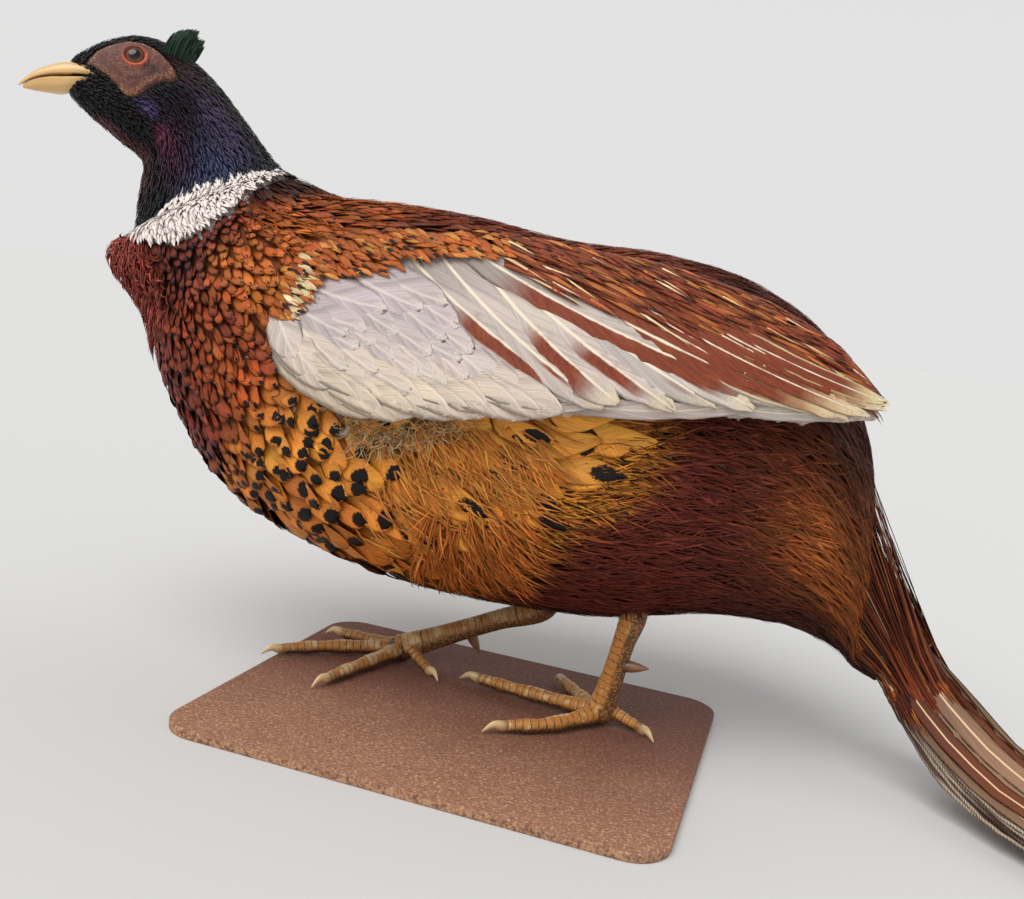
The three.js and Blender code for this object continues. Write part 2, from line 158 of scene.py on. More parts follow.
# The folded wing: x, then its lower and upper edge as (side, z), and half its thickness.
WING = [
    (-101, 56, 147, 50, 173, 5),
    (-88, 62, 133, 47, 187, 8),
    (-50, 67, 123, 43, 196, 10.5),
    (0, 69, 129, 41, 197, 10.5),
    (50, 67, 136, 37, 193, 9.5),
    (90, 59, 142, 31, 185, 7.5),
    (122, 48, 144, 28, 171, 5),
    (142, 36, 146, 29, 153, 1.8),
]


def wing_edges(x):
    """Lower and upper edge and half thickness of the folded wing at x."""
    rows = np.interp(x, [r[0] for r in WING], np.arange(len(WING)))
    return np.moveaxis(flow(WING, rows), -1, 0)


def wing_point(x, z, side):
    """The outer face of the folded wing at x and height z."""
    x, z = np.broadcast_arrays(np.asarray(x, float), np.asarray(z, float))
    _, low_y, low_z, high_y, high_z, half = wing_edges(x)
    share = (z - low_z) / (high_z - low_z)
    bulge = np.clip(1 - np.abs(2 * share - 1) ** 3, 0, 1) ** (1 / 3) * half
    lean = unit(np.stack([high_z - low_z, low_y - high_y], -1))
    y = low_y + (high_y - low_y) * share + lean[..., 0] * bulge
    return np.stack([x, side * y, z + lean[..., 1] * bulge * 0.5], -1)


def wing_frame(x, z, side):
    """Point, outward normal, and the steps of the wing's face along x and up."""
    e = 1.0
    point = wing_point(x, z, side)
    along = (wing_point(x + e, z, side) - wing_point(x - e, z, side)) / (2 * e)
    up = (wing_point(x, z + e, side) - wing_point(x, z - e, side)) / (2 * e)
    normal = unit(np.cross(along, up))
    flip = np.sign(normal[..., 1:2]) * side
    return point, normal * np.where(flip == 0, 1, flip), along, up


# How far inside a folded wing's ends, lower and upper edge a point must lie to be hidden by it,
# how far past its face, and how far from the middle plane.
HIDDEN_ENDS, HIDDEN_LOW, HIDDEN_HIGH, HIDDEN_PAST, HIDDEN_OUT = 8, 9, 7, 6, 20


def under_wing(points, margin=0.0):
    """Which points of the body lie behind a folded wing."""
    x, y, z = points[..., 0], np.abs(points[..., 1]), points[..., 2]
    _, low_y, low_z, high_y, high_z, _ = wing_edges(x)
    between = (x > WING[0][0] + HIDDEN_ENDS) & (x < WING[-1][0] - HIDDEN_ENDS)
    edge_y = low_y + (high_y - low_y) * np.clip((z - low_z) / (high_z - low_z), 0, 1)
    behind = (y < edge_y + HIDDEN_PAST) & (y > HIDDEN_OUT)
    return between & behind & (z > low_z + HIDDEN_LOW + margin) & (z < high_z - HIDDEN_HIGH - margin)


# ---- colours ----


def colour(code):
    """A hex colour as linear red, green and blue."""
    srgb = np.array([int(code[i : i + 2], 16) for i in (1, 3, 5)]) / 255
    return np.where(srgb <= 0.04045, srgb / 12.92, ((srgb + 0.055) / 1.055) ** 2.4)


COPPER = "#6b250f"
EDGE_BLACK = "#140a0a"
GOLD = "#d48630"


def evenly(code, count):
    """One colour for each of a number of feathers."""
    return np.broadcast_to(colour(code), (count, 3)).copy()


def fold_angle(angle):
    """An angle round the body without its side, from 0 at the back to 180 at the front."""
    return np.abs((np.asarray(angle, float) + 180) % 360 - 180)


class Paint:
    """Feather colours and marks over the body, laid on in coats like paint."""

    def __init__(self, station, angle):
        self.s = np.asarray(station, float)
        self.a = fold_angle(angle)
        n = self.s.shape
        self.base = np.broadcast_to(colour(COPPER), n + (3,)).copy()
        self.mark = np.broadcast_to(colour(EDGE_BLACK), n + (3,)).copy()
        self.form = np.zeros(n + (3,))  # dark rim, tip spot, pale shaft

    def zone(self, s0, s1, a0, a1, soft=0.35, spread=9.0):
        """A patch between two stations and two angles, with soft edges."""
        return band(self.s, s0, s1, soft) * band(self.a, a0, a1, spread)

    def blob(self, s, a, reach_s, reach_a):
        """A round patch that fades from its middle."""
        return np.exp(-(((self.s - s) / reach_s) ** 2) - ((self.a - a) / reach_a) ** 2)

    def lay(self, amount, base=None, mark=None, form=None):
        """Lay an amount of new colours and marks over what is there."""
        m = np.asarray(amount)[..., None]
        if base is not None:
            self.base += m * (colour(base) - self.base)
        if mark is not None:
            self.mark += m * (colour(mark) - self.mark)
        if form is not None:
            self.form += m * (np.array(form) - self.form)


RING_ANGLES = [0, 22, 34, 46, 57, 68, 82, 96, 108, 120, 129, 145, 180]
RING_TOP = [6.5, 6.3, 6.2, 6.08, 6.0, 5.9, 5.84, 5.67, 5.65, 5.7, 5.96, 6.15, 6.4]
RING_FOOT = [6.6, 6.62, 6.72, 6.95, 7.2, 7.45, 7.6, 7.58, 7.38, 7.0, 6.7, 6.45, 6.45]
# The bare red face round the eye, as (station, angle).
FACE = [
    (0.56, 72), (0.62, 60), (0.8, 47), (1.2, 39), (1.75, 35), (2.3, 38), (2.8, 45), (3.25, 54),
    (3.45, 62), (3.3, 70), (2.95, 79), (2.65, 88), (2.25, 96), (1.95, 100), (1.7, 99), (1.36, 91),
    (0.95, 82),
]  # fmt: skip


def within(x, y, corners):
    """Which points lie inside an outline."""
    inside = np.zeros(np.shape(x), bool)
    for (x0, y0), (x1, y1) in zip(corners, corners[1:] + corners[:1]):
        if y0 != y1:
            crossing = (y0 > y) != (y1 > y)
            inside ^= crossing & (x < (x1 - x0) * (y - y0) / (y1 - y0) + x0)
    return inside


GOLD_ANGLES = [86, 100, 112, 130, 150]
GOLD_ENDS = [12.2, 12.1, 11.75, 11.6, 11.4]


def gold_end(angle):
    """The station at which the golden flank gives way to maroon."""
    return np.interp(fold_angle(angle), GOLD_ANGLES, GOLD_ENDS)


def ring_share(station, angle):
    """0 above the white ring, 1 in it and 2 below it."""
    a = fold_angle(angle)
    top, foot = np.interp(a, RING_ANGLES, RING_TOP), np.interp(a, RING_ANGLES, RING_FOOT)
    return (station > top).astype(int) + (station > foot)


def head_and_neck_paint(station, angle):
    """Black with a painted slate and lilac sheen, a maroon throat and a violet spot behind the face."""
    p = Paint(station, angle)
    p.lay(1, "#15121a", "#0a080a")
    p.lay(0.9 * p.zone(2.6, 6.4, 0, 44), "#241813")
    p.lay(0.8 * p.zone(2.7, 4.6, 38, 64, 0.3, 6), "#402a1c")
    p.lay(p.zone(-1, 2.9, 0, 46, 0.3, 6), "#100c0c")
    # painted sheen: slate-blue low on the neck's side and lilac higher up, laid into the colour
    p.lay(p.blob(5.2, 80, 0.8, 34), "#3d496b")
    p.lay(0.9 * p.blob(4.5, 58, 0.85, 18), "#544666")
    p.lay(0.95 * p.blob(3.6, 80, 0.7, 13), "#141013")
    p.lay(0.85 * p.blob(4.2, 108, 0.9, 17), "#431a32")
    p.lay(0.8 * p.blob(3.6, 116, 0.45, 9), "#7c3a52")
    p.lay(0.95 * p.blob(2.5, 102, 0.35, 5), "#6c5a94")
    p.lay(p.zone(-1, 1.0, 0, 180, 0.15), "#0e0a0a")
    p.lay(0.9 * p.blob(1.6, 118, 1.1, 17), "#171011")
    p.lay(0.95 * p.zone(0.9, 4.8, 146, 181, 0.4, 9), "#5b2323")
    p.lay(0.5 * p.zone(3.6, 5.0, 120, 181, 0.4, 10), "#341319")
    p.lay(0.95 * p.blob(5.4, 142, 0.6, 26), "#0b1818")
    p.lay(0.6 * p.zone(5.6, 6.4, 0, 150, 0.2, 10), "#15161f")
    return p


def ring_paint(station, angle):
    """The white ring round the neck."""
    p = Paint(station, angle)
    p.lay(1, "#f2e6de", "#dccabf", (0.0, 0, 0.1))
    return p


def body_paint(station, angle):
    """Copper breast and back, spotted golden flanks, maroon behind and orange tufts at the rump."""
    p = Paint(station, angle)
    gold = band(p.a, 80, 158, 5) * smooth(p.s, 9.5, 10.0) * (1 - smooth(p.s - gold_end(angle), -0.25, 0.15))
    p.lay(1, "#7b2d15", EDGE_BLACK, (0.15, 0, 0.0))
    p.lay(p.zone(7.6, 10.4, 128, 181, 0.4, 10), "#6c2417", EDGE_BLACK, (0.16, 0, 0))
    p.lay(p.blob(8.7, 100, 0.6, 14), "#8c3a16", EDGE_BLACK, (0.14, 0, 0))
    p.lay(p.blob(9.5, 106, 0.5, 16), "#a34c1c", "#160a08", (0.1, 0.25, 0))
    p.lay(p.zone(6.0, 7.5, 0, 84, 0.25, 8), "#3f170b", "#0d0605", (0.22, 0, 0.1))
    p.lay(p.zone(6.2, 8.1, 84, 118, 0.25, 8), "#5c2114", "#100706", (0.2, 0, 0))
    p.lay(p.zone(6.2, 8.3, 118, 181, 0.25, 7), "#a04a3c", "#7a332a", (0.05, 0, 0))
    p.lay(p.zone(7.3, 9.4, 0, 66, 0.25, 6), "#9a4a18", "#2a0f07", (0.1, 0, 0.2))
    p.lay(p.zone(7.9, 10.3, 50, 90, 0.3, 6), "#ad5a20", "#260e06", (0.0, 0.2, 0.2))
    p.lay(p.zone(9.2, 12.2, 0, 62, 0.4, 10), "#762f13", "#2c0f08", (0.16, 0, 0.3))
    p.lay(p.zone(12.0, 13.8, 78, 165, 0.4, 8), "#5b241b", "#26100c", (0.0, 0, 0.1))
    p.lay(p.zone(11.3, 12.7, 84, 160, 0.35, 8), "#6b2a1f", "#26100c", (0.0, 0, 0.1))
    p.lay(gold, GOLD, "#0f0806", (0.0, 0.5, 0.25))
    p.lay(0.6 * gold * p.zone(9.4, 11.2, 124, 150, 0.3, 8), "#b0591a")
    p.lay(p.zone(9.2, 13.5, 158, 181, 0.3, 9), "#34150c", "#120706", (0.2, 0, 0))
    p.lay(p.zone(12.0, 14.4, 0, 84, 0.4, 8), "#54200f", "#220b06", (0.1, 0, 0.2))
    p.lay(p.zone(13.6, 19, 0, 181, 0.4, 8), "#43190d", "#1c0a06", (0.0, 0, 0.2))
    p.lay(p.blob(13.8, 106, 0.6, 22), "#b8662e")
    p.lay(0.95 * p.blob(14.8, 122, 0.6, 22), "#a8582a")
    p.lay(p.blob(15.4, 84, 0.8, 34), "#b0602a")
    p.lay(p.zone(16.0, 19, 0, 181, 0.3, 8), "#7c4020", "#34150c", (0, 0, 0.4))
    p.lay(0.7 * p.zone(14, 19, 150, 181, 0.3, 8), "#241009")
    return p


def coat_paint(station, angle):
    """The whole coat's colours, for the skin under the feathers."""
    head, ring, body = (f(station, angle) for f in (head_and_neck_paint, ring_paint, body_paint))
    share = ring_share(station, angle)[..., None]
    return np.where(share == 0, head.base, np.where(share == 1, ring.base, body.base))


# ---- feathers ----

# A feather's outline: rows from root to tip, and its half width at each.
ROUND = np.array([[0, 0.22, 0.45, 0.66, 0.82, 0.93, 1.0], [0.4, 0.75, 0.97, 1.0, 0.86, 0.58, 0.16]])
BROAD = np.array([[0, 0.2, 0.45, 0.7, 0.87, 0.96, 1.0], [0.45, 0.8, 1.0, 1.0, 0.84, 0.52, 0.2]])
POINTED = np.array([[0, 0.22, 0.45, 0.65, 0.82, 0.93, 1.0], [0.4, 0.8, 1.0, 0.85, 0.55, 0.26, 0.05]])
LEAF = np.array([[0, 0.25, 0.5, 0.7, 0.85, 0.95, 1.0], [0.4, 0.8, 1.0, 0.9, 0.6, 0.3, 0.06]])
SHORT = np.array([[0, 0.4, 0.75, 1.0], [0.5, 1.0, 0.8, 0.12]])
HAIR = np.array([[0, 0.25, 0.5, 0.75, 1.0], [0.8, 1.0, 0.85, 0.55, 0.06]])
PATCH = 0.003  # side of one feather's patch on the bake map
MAP_EDGE = 0.01  # empty margin of that map


def write_points(mesh, name, values):
    """Store three values for each vertex, for a material to read."""
    values = np.concatenate([values, np.ones((len(values), 1))], 1)
    mesh.attributes.new(name, "FLOAT_COLOR", "POINT").data.foreach_set("color", values.astype("f").ravel())


class Feathers:
    """Feathers gathered into one mesh. Each is a thin closed vane: an arched top and a flat underside."""

    def __init__(self, name, columns):
        self.name = name
        self.columns = columns
        self.verts, self.faces, self.flat = [], [], []
        self.vane, self.bake, self.base, self.mark, self.form = [], [], [], [], []
        self.count = 0

    def add(self, line, normal, half, rows, base, mark, form, root, arch=0.2, ragged=None):
        """line and normal are (n, rows, 3), half (n, rows); colours and root are one per feather."""
        n, r = line.shape[:2]
        k = self.columns
        a = np.linspace(-1, 1, k)
        along = unit(np.gradient(line, axis=1))
        across = unit(np.cross(normal, along))
        spread = half[..., None] * a
        drop = arch * half[..., None] * a**2
        points = (
            line[:, :, None]
            + across[:, :, None] * spread[..., None]
            - normal[:, :, None] * drop[..., None]
        )
        if ragged is not None:
            points += along[:, :, None] * (ragged[:, None] * (np.asarray(rows) ** 6)[:, None])[..., None]
        first = self.count + np.arange(n)[:, None, None] * r * k
        grid = first + np.arange(r)[None, :, None] * k + np.arange(k)
        top = np.stack(
            [grid[:, :-1, :-1], grid[:, :-1, 1:], grid[:, 1:, 1:], grid[:, 1:, :-1]], -1
        ).reshape(-1, 4)
        under = np.stack(
            [grid[:, :-1, 0], grid[:, 1:, 0], grid[:, 1:, -1], grid[:, :-1, -1]], -1
        ).reshape(-1, 4)
        self.faces += [top, under, grid[:, 0, ::-1], grid[:, -1]]
        self.flat += [np.zeros(len(top), bool)] + [
            np.ones(m, bool) for m in (len(under), n, n)
        ]
        u = np.broadcast_to((a + 1) / 2, (n, r, k))
        v = np.broadcast_to(np.asarray(rows)[:, None], (n, r, k))
        self.verts.append(points.reshape(-1, 3))
        self.vane.append(np.stack([u, v], -1).reshape(-1, 2))
        patch = np.stack([u - 0.5, v - 0.5], -1) * PATCH
        self.bake.append((np.asarray(root)[:, None, None], patch))
        for kept, value in ((self.base, base), (self.mark, mark), (self.form, form)):
            value = np.asarray(value, float)
            if value.ndim == 2:
                value = np.broadcast_to(value[:, None, None], (n, r, k, value.shape[-1]))
            kept.append(value.reshape(-1, value.shape[-1]))
        self.count += n * r * k

    def build(self, material, slot, replaces=()):
        """Make the mesh, with its map and the values that its material reads."""
        roots = np.concatenate([root.reshape(-1, 2) for root, _ in self.bake])
        low, high = roots.min(0), roots.max(0)
        unwrapped = [
            (MAP_EDGE + (1 - 2 * MAP_EDGE) * (root - low) / (high - low) + patch).reshape(-1, 2)
            for root, patch in self.bake
        ]
        sizes = np.concatenate([np.full(len(f), f.shape[1]) for f in self.faces])
        loops = np.concatenate([f.reshape(-1) for f in self.faces])
        mesh = bpy.data.meshes.new(self.name)
        mesh.vertices.add(self.count)
        mesh.vertices.foreach_set("co", placed(np.concatenate(self.verts)).astype("f").ravel())
        mesh.loops.add(len(loops))
        mesh.loops.foreach_set("vertex_index", loops.astype("i"))
        mesh.polygons.add(len(sizes))
        mesh.polygons.foreach_set("loop_start", np.concatenate([[0], np.cumsum(sizes)[:-1]]).astype("i"))
        mesh.attributes.new("sharp_face", "BOOLEAN", "FACE").data.foreach_set(
            "value", np.concatenate(self.flat)
        )
        for name, values in (("OFBake", unwrapped), ("vane", self.vane)):
            values = np.clip(np.concatenate(values), 0, 1)
            mesh.uv_layers.new(name=name).data.foreach_set("uv", values[loops].astype("f").ravel())
        for name, values in (("base", self.base), ("mark", self.mark), ("form", self.form)):
            write_points(mesh, name, np.concatenate(values))
        mesh.update(calc_edges=True)
        mesh.uv_layers["OFBake"].active_render = True
        show(self.name, mesh, material, replaces)


def show(name, mesh, material, replaces=()):
    """Add a mesh to the scene as one piece, with its material, and hide the nodes that it replaces."""
    mesh.materials.append(material)
    piece = bpy.data.objects.new(name, mesh)
    bpy.context.scene.collection.objects.link(piece)
    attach(piece, "root")
    if replaces:
        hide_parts(*replaces)
    return piece


def scattered(rng, where, gap, tries, s_range):
    """Roots spread evenly over the coat, at least a gap apart, as stations and angles.

    where(station, angle, point) says which are kept, and gap is in millimetres.
    """
    s = rng.uniform(*s_range, tries)
    a = rng.uniform(-180, 180, tries)
    point, _, down, round_ = body_frame(s, a)
    area = np.linalg.norm(np.cross(down, round_), axis=-1)
    kept = where(s, a, point) & (rng.uniform(0, np.percentile(area, 99), tries) < area)
    s, a, point = s[kept], a[kept], point[kept]
    chosen = spaced(point, np.broadcast_to(gap(s, a) if callable(gap) else gap, s.shape))
    return s[chosen], a[chosen]


def spaced(points, gap):
    """Indices of points that are at least their gap from those chosen before."""
    cell = float(np.max(gap))
    cells, chosen = {}, []
    keys = np.floor(points / cell).astype(int)
    near = [(i, j, k) for i in (-1, 0, 1) for j in (-1, 0, 1) for k in (-1, 0, 1)]
    for n, (point, key, reach) in enumerate(zip(points.tolist(), keys.tolist(), gap.tolist())):
        reach *= reach
        free = True
        for i, j, k in near:
            for q in cells.get((key[0] + i, key[1] + j, key[2] + k), ()):
                if (q[0] - point[0]) ** 2 + (q[1] - point[1]) ** 2 + (q[2] - point[2]) ** 2 < reach:
                    free = False
                    break
            if not free:
                break
        if free:
            cells.setdefault(tuple(key), []).append(point)
            chosen.append(n)
    return np.array(chosen, int)


def along_body(s, a, rows, length, swerve, sink, lift, curl=0.0):
    """The midlines of feathers that follow the coat, with the surface's normals."""
    lines, normals = [], []
    s, a, hand = s.copy(), a.copy(), np.sign(a)
    previous = 0.0
    for v in rows:
        step = (v - previous) * length
        previous = v
        point, normal, down, round_ = body_frame(s, a)
        turn = swerve + curl * v
        s = np.clip(s + np.cos(turn) * step / np.linalg.norm(down, axis=-1), 0, BODY_END)
        a = a + hand * np.sin(turn) * step / (np.linalg.norm(round_, axis=-1) + 0.05)
        point, normal, down, round_ = body_frame(s, a)
        height = -sink + (lift + sink) * smooth(v, 0, 0.75)
        lines.append(point + normal * np.asarray(height)[..., None])
        normals.append(normal)
    return np.stack(lines, 1), np.stack(normals, 1)


def vary(rng, colours, amount):
    """Each feather a little lighter or darker, and warmer or cooler."""
    n = len(colours)
    light = np.exp(rng.normal(0, amount, (n, 1)))
    tint = np.exp(rng.normal(0, amount * 0.3, (n, 3)))
    return np.clip(colours * light * tint, 0, 1)


def uneven(rng, widths, amount, count):
    """Half widths for a number of feathers, each row a little wider or narrower."""
    return widths * np.exp(rng.normal(0, amount, (count, np.shape(widths)[-1])))


def coat_feathers(
    name, seed, paint, where, gap, length, width, outline, material, slot, s_range,
    tries=60000, sink=2.5, lift=0.3, swerve=0.0, ruffle=0.12, columns=5, tone=0.14, arch=0.14, jag=0.0,
    curl=0.0, spotted=1.0,
):  # fmt: skip
    """One part of the coat: feathers spread over the stations of s_range, following the body."""
    rng = np.random.default_rng(seed)
    s, a = scattered(rng, where, gap, tries, s_range)
    n = len(s)
    rows, widths = outline
    size = np.exp(rng.normal(0, 0.1, n))
    long = (length(s, a) if callable(length) else length) * size
    wide = (width(s, a) if callable(width) else width) * size
    turn = rng.normal(0, ruffle, n) + (swerve(s, a) if callable(swerve) else swerve)
    rise = lift + np.abs(rng.normal(0, 0.2, n)) * (1 + 2.5 * ruffle)
    bend = rng.normal(0, ruffle, n) + rng.normal(0, 1, n) * curl
    line, normal = along_body(s, a, rows, long, turn, sink, rise, bend)
    half = uneven(rng, wide[:, None] * widths, 0.05, n)
    roll = rng.normal(0, ruffle, (n, 1, 1))
    across = unit(np.cross(normal, unit(np.gradient(line, axis=1))))
    normal = unit(normal + across * roll)
    p = paint(s, a)
    p.form[:, 0] *= rng.uniform(0.3, 1.3, n)
    p.form[:, 1] *= rng.uniform(0, 1, n) < (spotted(s, a) if callable(spotted) else spotted)
    ragged = rng.normal(0, 1, (n, columns)) * jag if jag else None
    coat = Feathers(name, columns)
    coat.add(
        line, normal, half, rows, vary(rng, p.base, tone), p.mark, p.form,
        np.stack([s, a], -1), arch, ragged,
    )  # fmt: skip
    coat.build(material, slot)


# ---- materials ----


class Tree:
    """Short words for building a node tree."""

    def __init__(self, tree):
        self.tree = tree

    def node(self, kind, **settings):
        made = self.tree.nodes.new(kind)
        for key, value in settings.items():
            setattr(made, key, value)
        return made

    def feed(self, socket, value):
        if isinstance(value, bpy.types.NodeSocket):
            self.tree.links.new(value, socket)
        elif socket.type == "RGBA" and not isinstance(value, (int, float)):
            socket.default_value = (*value[:3], 1.0)
        else:
            socket.default_value = value

    def math(self, operation, *values):
        made = self.node("ShaderNodeMath", operation=operation)
        for socket, value in zip(made.inputs, values):
            self.feed(socket, value)
        return made.outputs[0]

    def plus(self, one, other):
        return self.math("ADD", one, other)

    def less(self, one, other):
        return self.math("SUBTRACT", one, other)

    def times(self, one, other):
        return self.math("MULTIPLY", one, other)

    def scaled(self, value, factor, offset):
        return self.math("MULTIPLY_ADD", value, factor, offset)

    def most(self, one, other):
        return self.math("MAXIMUM", one, other)

    def size_of(self, value):
        return self.math("ABSOLUTE", value)

    def sine(self, value):
        return self.math("SINE", value)

    def toned(self, shade, tone):
        """A colour made lighter or darker by a tone."""
        return self.mix(1.0, shade, self.join(tone, tone, tone), "MULTIPLY")

    def step(self, value, low, high, from_=0.0, to=1.0):
        """A smooth step of the value from one level to another."""
        made = self.node("ShaderNodeMapRange", interpolation_type="SMOOTHSTEP")
        for socket, given in zip(made.inputs, (value, low, high, from_, to)):
            self.feed(socket, given)
        return made.outputs[0]

    def mix(self, share, one, other, blend="MIX"):
        made = self.node("ShaderNodeMix", data_type="RGBA", blend_type=blend)
        for name, value in (("Factor", share), ("A", one), ("B", other)):
            socket = next(
                i for i in made.inputs if i.name == name and i.type in ("RGBA", "VALUE") and i.enabled
            )
            self.feed(socket, value)
        return next(o for o in made.outputs if o.enabled)

    def place(self, scale=(1, 1, 1)):
        """Object coordinates, stretched."""
        made = self.node("ShaderNodeMapping")
        made.inputs["Scale"].default_value = scale
        self.feed(made.inputs["Vector"], self.node("ShaderNodeTexCoord").outputs["Object"])
        return made.outputs[0]

    def noise(self, vector, scale, detail=3.0, rough=0.55):
        made = self.node("ShaderNodeTexNoise")
        for name, value in (("Vector", vector), ("Scale", scale), ("Detail", detail), ("Roughness", rough)):
            self.feed(made.inputs[name], value)
        return made.outputs["Fac"]

    def cells(self, vector, scale):
        made = self.node("ShaderNodeTexVoronoi", feature="F1")
        self.feed(made.inputs["Vector"], vector)
        self.feed(made.inputs["Scale"], scale)
        return made.outputs["Distance"]

    def split(self, vector):
        made = self.node("ShaderNodeSeparateXYZ")
        self.feed(made.inputs[0], vector)
        return made.outputs

    def join(self, x, y, z=0.0):
        made = self.node("ShaderNodeCombineXYZ")
        for socket, value in zip(made.inputs, (x, y, z)):
            self.feed(socket, value)
        return made.outputs[0]

    def attribute(self, name, output="Color"):
        return self.node("ShaderNodeAttribute", attribute_name=name).outputs[output]

    def uv(self, name):
        return self.node("ShaderNodeUVMap", uv_map=name).outputs[0]

    def use(self, group, **inputs):
        made = self.node("ShaderNodeGroup", node_tree=group)
        for name, value in inputs.items():
            self.feed(made.inputs[name.replace("_", " ")], value)
        return made.outputs


def group(name, inputs, outputs):
    """An empty shader node group with its inputs {name: default} and outputs {name: kind}."""
    made = bpy.data.node_groups.new(name, "ShaderNodeTree")
    for key, value in inputs.items():
        kind = "NodeSocketFloat" if isinstance(value, (int, float)) else "NodeSocketColor"
        socket = made.interface.new_socket(key, in_out="INPUT", socket_type=kind)
        socket.default_value = value if kind == "NodeSocketFloat" else (*value, 1.0)
    for key, kind in outputs.items():
        made.interface.new_socket(key, in_out="OUTPUT", socket_type="NodeSocket" + kind)
    t = Tree(made)
    return made, t, t.node("NodeGroupInput").outputs, t.node("NodeGroupOutput").inputs


def vane_group():
    """The look of one feather: its barbs, dark rim, tip spot, pale shaft and splits, with painted shade
    towards its root.
    """
    made, t, given, out = group(
        "vane",
        {
            "Base": (0.5, 0.3, 0.1), "Mark": (0, 0, 0), "Form": (0, 0, 0), "Pale": (0.8, 0.7, 0.5),
            "Barbs": 40.0,
        },
        {"Color": "Color", "Height": "Float"},
    )  # fmt: skip
    u, v, _ = t.split(t.uv("vane"))
    rim, spot, shaft = t.split(given["Form"])
    edge = t.size_of(t.scaled(u, 2.0, -1.0))
    ragged = t.less(t.noise(t.place(), 900.0, 2.0), 0.5)
    reach = t.plus(t.most(t.times(edge, 0.94), v), t.times(ragged, 0.28))
    inner = t.less(1.0, rim)
    rimmed = t.step(reach, t.less(inner, 0.1), t.plus(inner, 0.12))
    rimmed = t.times(rimmed, t.step(rim, 0.0, 0.04))
    far = t.times(t.less(v, 0.93), 2.2)
    square, far_square = t.math("POWER", t.times(edge, 0.6), 2.0), t.math("POWER", far, 2.0)
    away = t.math("SQRT", t.plus(square, far_square))
    away = t.plus(away, t.times(ragged, 0.3))
    spotted = t.step(t.less(spot, away), -0.03, 0.05)
    slant = t.times(t.less(v, t.times(edge, 0.3)), given["Barbs"])
    hand = t.math("GREATER_THAN", u, 0.5)
    lie = t.join(slant, t.times(hand, 7.0), t.times(edge, 0.8))
    barbs = t.noise(lie, 1.6, 3.0, 0.7)
    clumps = t.noise(lie, 0.22, 3.0)
    paler = t.times(t.step(edge, 0.12, 0.03), shaft)
    tone = t.times(t.step(barbs, 0.3, 0.7, 0.78, 1.18), t.step(clumps, 0.25, 0.75, 0.78, 1.18))
    # painted shade: each vane darker towards its root, where the feathers lying over it shade it
    tone = t.times(tone, t.step(v, 0.0, 0.45, 0.6, 1.0))
    plain = t.toned(given["Base"], tone)
    shafted = t.mix(paler, plain, given["Pale"])
    t.feed(out["Color"], t.mix(t.most(rimmed, spotted), shafted, given["Mark"]))
    ridge = t.times(t.step(edge, 0.12, 0.0), 0.6)
    t.feed(out["Height"], t.plus(t.plus(barbs, clumps), ridge))
    return made


VANE = vane_group()


def material(name, roughness=0.5, metallic=0.0, **settings):
    """A new material, its tree and the inputs of its shader."""
    made = bpy.data.materials.new(name)
    made.use_nodes = True
    t = Tree(made.node_tree)
    shader = next(n for n in made.node_tree.nodes if n.type == "BSDF_PRINCIPLED")
    shader.inputs["Roughness"].default_value = roughness
    shader.inputs["Metallic"].default_value = metallic
    for key, value in settings.items():
        shader.inputs[key.replace("_", " ")].default_value = value
    return made, t, shader.inputs


def bump(t, sockets, height, strength, distance=0.0004):
    """Fine relief; distance is its depth in metres."""
    made = t.node("ShaderNodeBump")
    made.inputs["Strength"].default_value = strength
    made.inputs["Distance"].default_value = distance
    t.feed(made.inputs["Height"], height)
    t.feed(sockets["Normal"], made.outputs[0])


def plumage(name, pale, barbs, roughness, metallic=0.0, **settings):
    """A feather material that takes its colours and marks from each feather."""
    made, t, sockets = material(name, roughness, metallic, **settings)
    out = t.use(
        VANE,
        Base=t.attribute("base"),
        Mark=t.attribute("mark"),
        Form=t.attribute("form"),
        Pale=colour(pale),
        Barbs=barbs,
    )
    t.feed(sockets["Base Color"], out["Color"])
    bump(t, sockets, out["Height"], 0.35)
    return made


body_feather = plumage("body_feather", "#c98a45", 14.0, 0.55, Specular_IOR_Level=0.25)
neck_feather = plumage("neck_feather", "#40385a", 6.0, 0.4, 0.25, Specular_IOR_Level=0.35)
ring_feather = plumage("ring_feather", "#f2e8e0", 10.0, 0.8, Specular_IOR_Level=0.15)
plume = plumage("loose_plume", "#a35a24", 8.0, 0.6, Specular_IOR_Level=0.2)
tail_covert = plumage("tail_covert", "#e6c196", 90.0, 0.55, Specular_IOR_Level=0.25)
covert = plumage("wing_covert", "#f1e4d3", 70.0, 0.6, Specular_IOR_Level=0.25)


def skin_material():
    """Dull mottled skin in the coat's colours."""
    made, t, sockets = material("skin", 0.75)
    spread = t.noise(t.place(), 420.0, 4.0)
    tone = t.step(spread, 0.3, 0.7, 0.65, 1.0)
    t.feed(sockets["Base Color"], t.toned(t.attribute("base"), tone))
    bump(t, sockets, spread, 0.6, 0.001)
    return made


# ---- skin ----

# The lower edge of the brown feathers along the top of the wing.
SHOULDER_X = [-101, -96, -84, -79, -75, -64, -47, -43, -30, -10, 10, 30, 60, 100, 128]
SHOULDER_Z = [146, 152, 153, 160, 170, 173, 175, 180, 184, 186, 188, 184, 178, 167, 160]

FLESH = ["head", "neck", "trunk", "rump", "tail_coverts"] + [
    name.format(side)
    for side in SIDES
    for name in ("thigh_{}", "wing_{}_coverts", "wing_{}_flight_feathers")
]
SKIN_VOXEL = 0.0022
SHADED = 0.65  # how dark the skin is under the feathers
SWELL = 0.5  # how far each node is swelled, so that the cuts between them close
# How deep the skin lies under the coat: by station on the body, by x on the wings, and on the thighs.
COAT_DEPTH = [(0, 0.5), (3, 1.0), (5.5, 1.6), (7, 2.6), (13, 3.0), (15, 2.0), (17, 1.0)]
WING_DEPTH = ([60, 130], [1.8, 0.3])
WING_STANDS_OUT, WING_LOWEST = 3, 110
THIGH_TOP, THIGH_DEPTH = 42, 0.6


